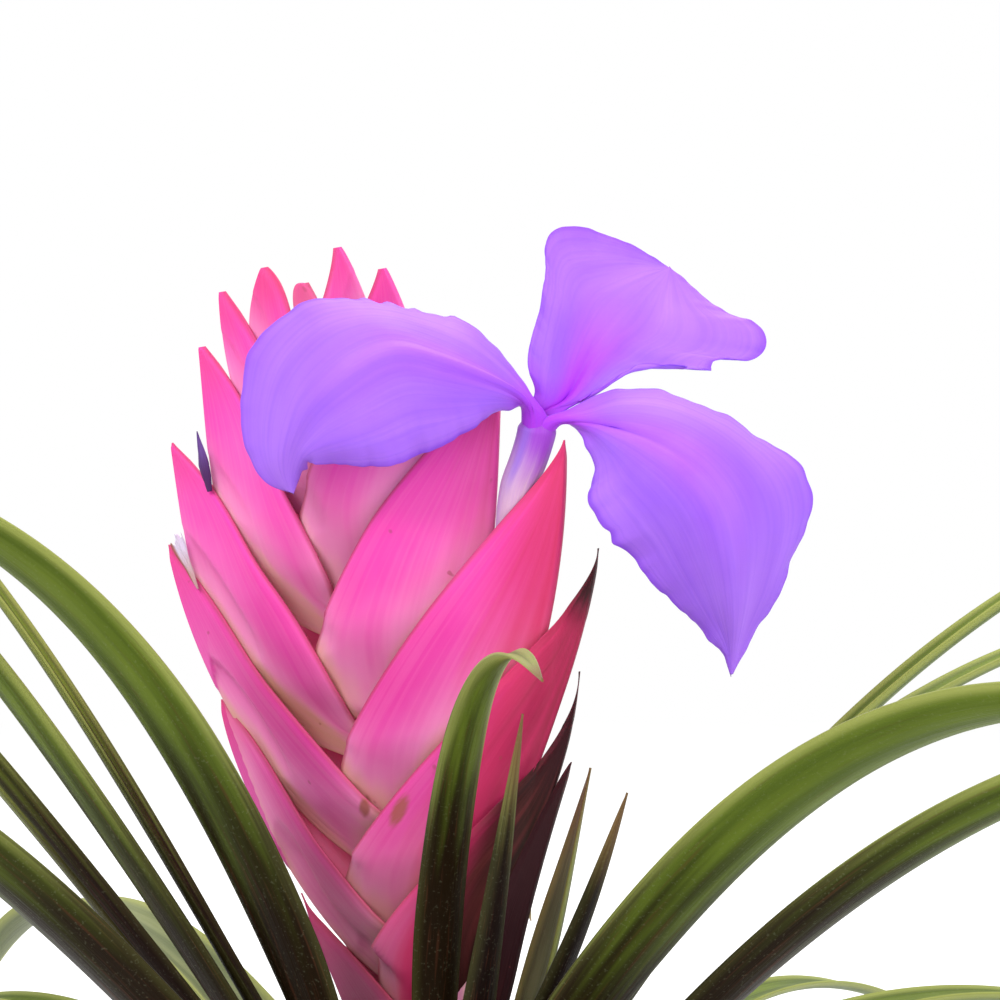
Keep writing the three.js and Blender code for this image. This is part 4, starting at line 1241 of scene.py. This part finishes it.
# the profile turned round the axis, with scars as squared sine waves up it and grain round it
def stemRings(rows=90, sides=120):
    shape = stemShape
    t = np.linspace(0, 1, rows)
    share, heights, radii = np.transpose(shape["profile"])
    height = np.interp(t, share, heights)
    radius = np.interp(t, share, radii)
    angle = np.linspace(0, 2 * np.pi, sides, endpoint=False)
    scar = shape["scarDepth"] * np.sin(t * np.pi * shape["scars"])[:, None] ** 2
    grain = shape["grainDepth"] * np.sin(angle * 23 + 2 * np.sin(angle * 5))[None, :]
    r = radius[:, None] - scar - shape["inset"] + grain * smooth(t / 0.05)[:, None]
    return np.stack([r * np.cos(angle), r * np.sin(angle), height[:, None] * np.ones_like(r)], axis=-1)


# Stem skin: brown bark in lengthwise fibres with darker blotches
def stemMaterial():
    skin = stemSkin
    material, tree, shader = newMaterial("stemBark")
    streak, _ = streakNode(tree, 60.0, 6.0, 7.0)
    patch, speck = patchNode(tree, 180.0, 1300.0)
    color = mixNode(tree, stepNode(tree, streak, 0.35, 0.65), *skin["bark"])
    color = tintNode(tree, color, stepNode(tree, patch, 0.4, 0.7), 0.5, skin["blotch"])
    height = mathNode(tree, "ADD", streak, timesNode(tree, speck, 0.5))
    finishSkin(tree, shader, skin, color, 0.8, height)
    return material


makeRings("stem_bark", stemRings(), {}, stemMaterial(), "stem", "rosette_stem")
print("stem made")


# Floor, light and camera: the view in millimetres, the floor and the lights in metres; the
# floor's brightness begins and is full at its two distances from the plant
view = {
    "target": (9.0, 0.0, 99.6),
    "elevation": 4.0,
    "distance": 420.0,
    "frameWidth": 120.0,
    "sensorWidth": 36.0,
}
floorLook = {"half": 6.0, "brightness": (0.22, 0.55), "color": (0.88, 0.88, 0.88)}
lightTarget = (0.0, 0.0, 0.08)

# place, size and power of each soft light
lights = {
    "keyLight": ((-0.55, -0.75, 0.85), 0.5, 7.5),
    "frontLight": ((-0.15, -0.95, 0.2), 0.7, 1.6),
    "fillLight": ((0.8, -0.5, 0.5), 0.6, 4.0),
    "topLight": ((0.1, 0.35, 1.0), 0.6, 6.0),
}


# Floor: matt white under the plant, and as bright as the backdrop further out
def floorMaterial():
    material, tree, shader = newMaterial("paleFloor")
    place = addNode(tree, "ShaderNodeTexCoord")
    length = addNode(tree, "ShaderNodeVectorMath", operation="LENGTH")
    tree.links.new(place.outputs["Object"], length.inputs[0])
    far = stepNode(tree, length.outputs["Value"], *floorLook["brightness"])
    feed(tree, shader.inputs["Base Color"], mixNode(tree, far, floorLook["color"], (0.0, 0.0, 0.0)))
    shader.inputs["Roughness"].default_value = 0.8
    shader.inputs["Specular IOR Level"].default_value = 0.0
    shader.inputs["Emission Color"].default_value = (1.0, 1.0, 1.0, 1.0)
    feed(tree, shader.inputs["Emission Strength"], far)
    return material


floorMesh = bpy.data.meshes.new("floor")
half = floorLook["half"]
corners = [(-half, -half, 0), (half, -half, 0), (half, half, 0), (-half, half, 0)]
floorMesh.from_pydata(corners, [], [(0, 1, 2, 3)])
floorMesh.materials.append(floorMaterial())
floor = bpy.data.objects.new("floor", floorMesh)
bpy.context.scene.collection.objects.link(floor)

world = bpy.data.worlds.new("studio")
world.use_nodes = True
backdrop = world.node_tree.nodes["Background"]
backdrop.inputs["Color"].default_value = (1.0, 1.0, 1.0, 1.0)
backdrop.inputs["Strength"].default_value = 1.0
bpy.context.scene.world = world


# a round soft light turned toward the plant
def addLight(name, place, size, power):
    data = bpy.data.lights.new(name, "AREA")
    data.shape = "DISK"
    data.size = size
    data.energy = power
    light = bpy.data.objects.new(name, data)
    light.location = place
    way = np.array(place) - np.array(lightTarget)
    light.rotation_euler = (math.atan2(math.hypot(way[0], way[1]), way[2]), 0.0, math.atan2(way[0], -way[1]))
    bpy.context.scene.collection.objects.link(light)


for name, settings in lights.items():
    addLight(name, *settings)

cameraData = bpy.data.cameras.new("camera")
cameraData.sensor_width = view["sensorWidth"]
cameraData.lens = view["sensorWidth"] * view["distance"] / view["frameWidth"]
cameraData.clip_end = 50.0
camera = bpy.data.objects.new("camera", cameraData)
rise = math.radians(view["elevation"])
back = np.array([0.0, -math.cos(rise), math.sin(rise)])
camera.location = (np.array(view["target"]) + view["distance"] * back) * mm
camera.rotation_euler = (math.pi / 2 - rise, 0.0, 0.0)
bpy.context.scene.collection.objects.link(camera)
bpy.context.scene.camera = camera
bpy.context.scene.view_settings.view_transform = "Standard"
print("stage made")
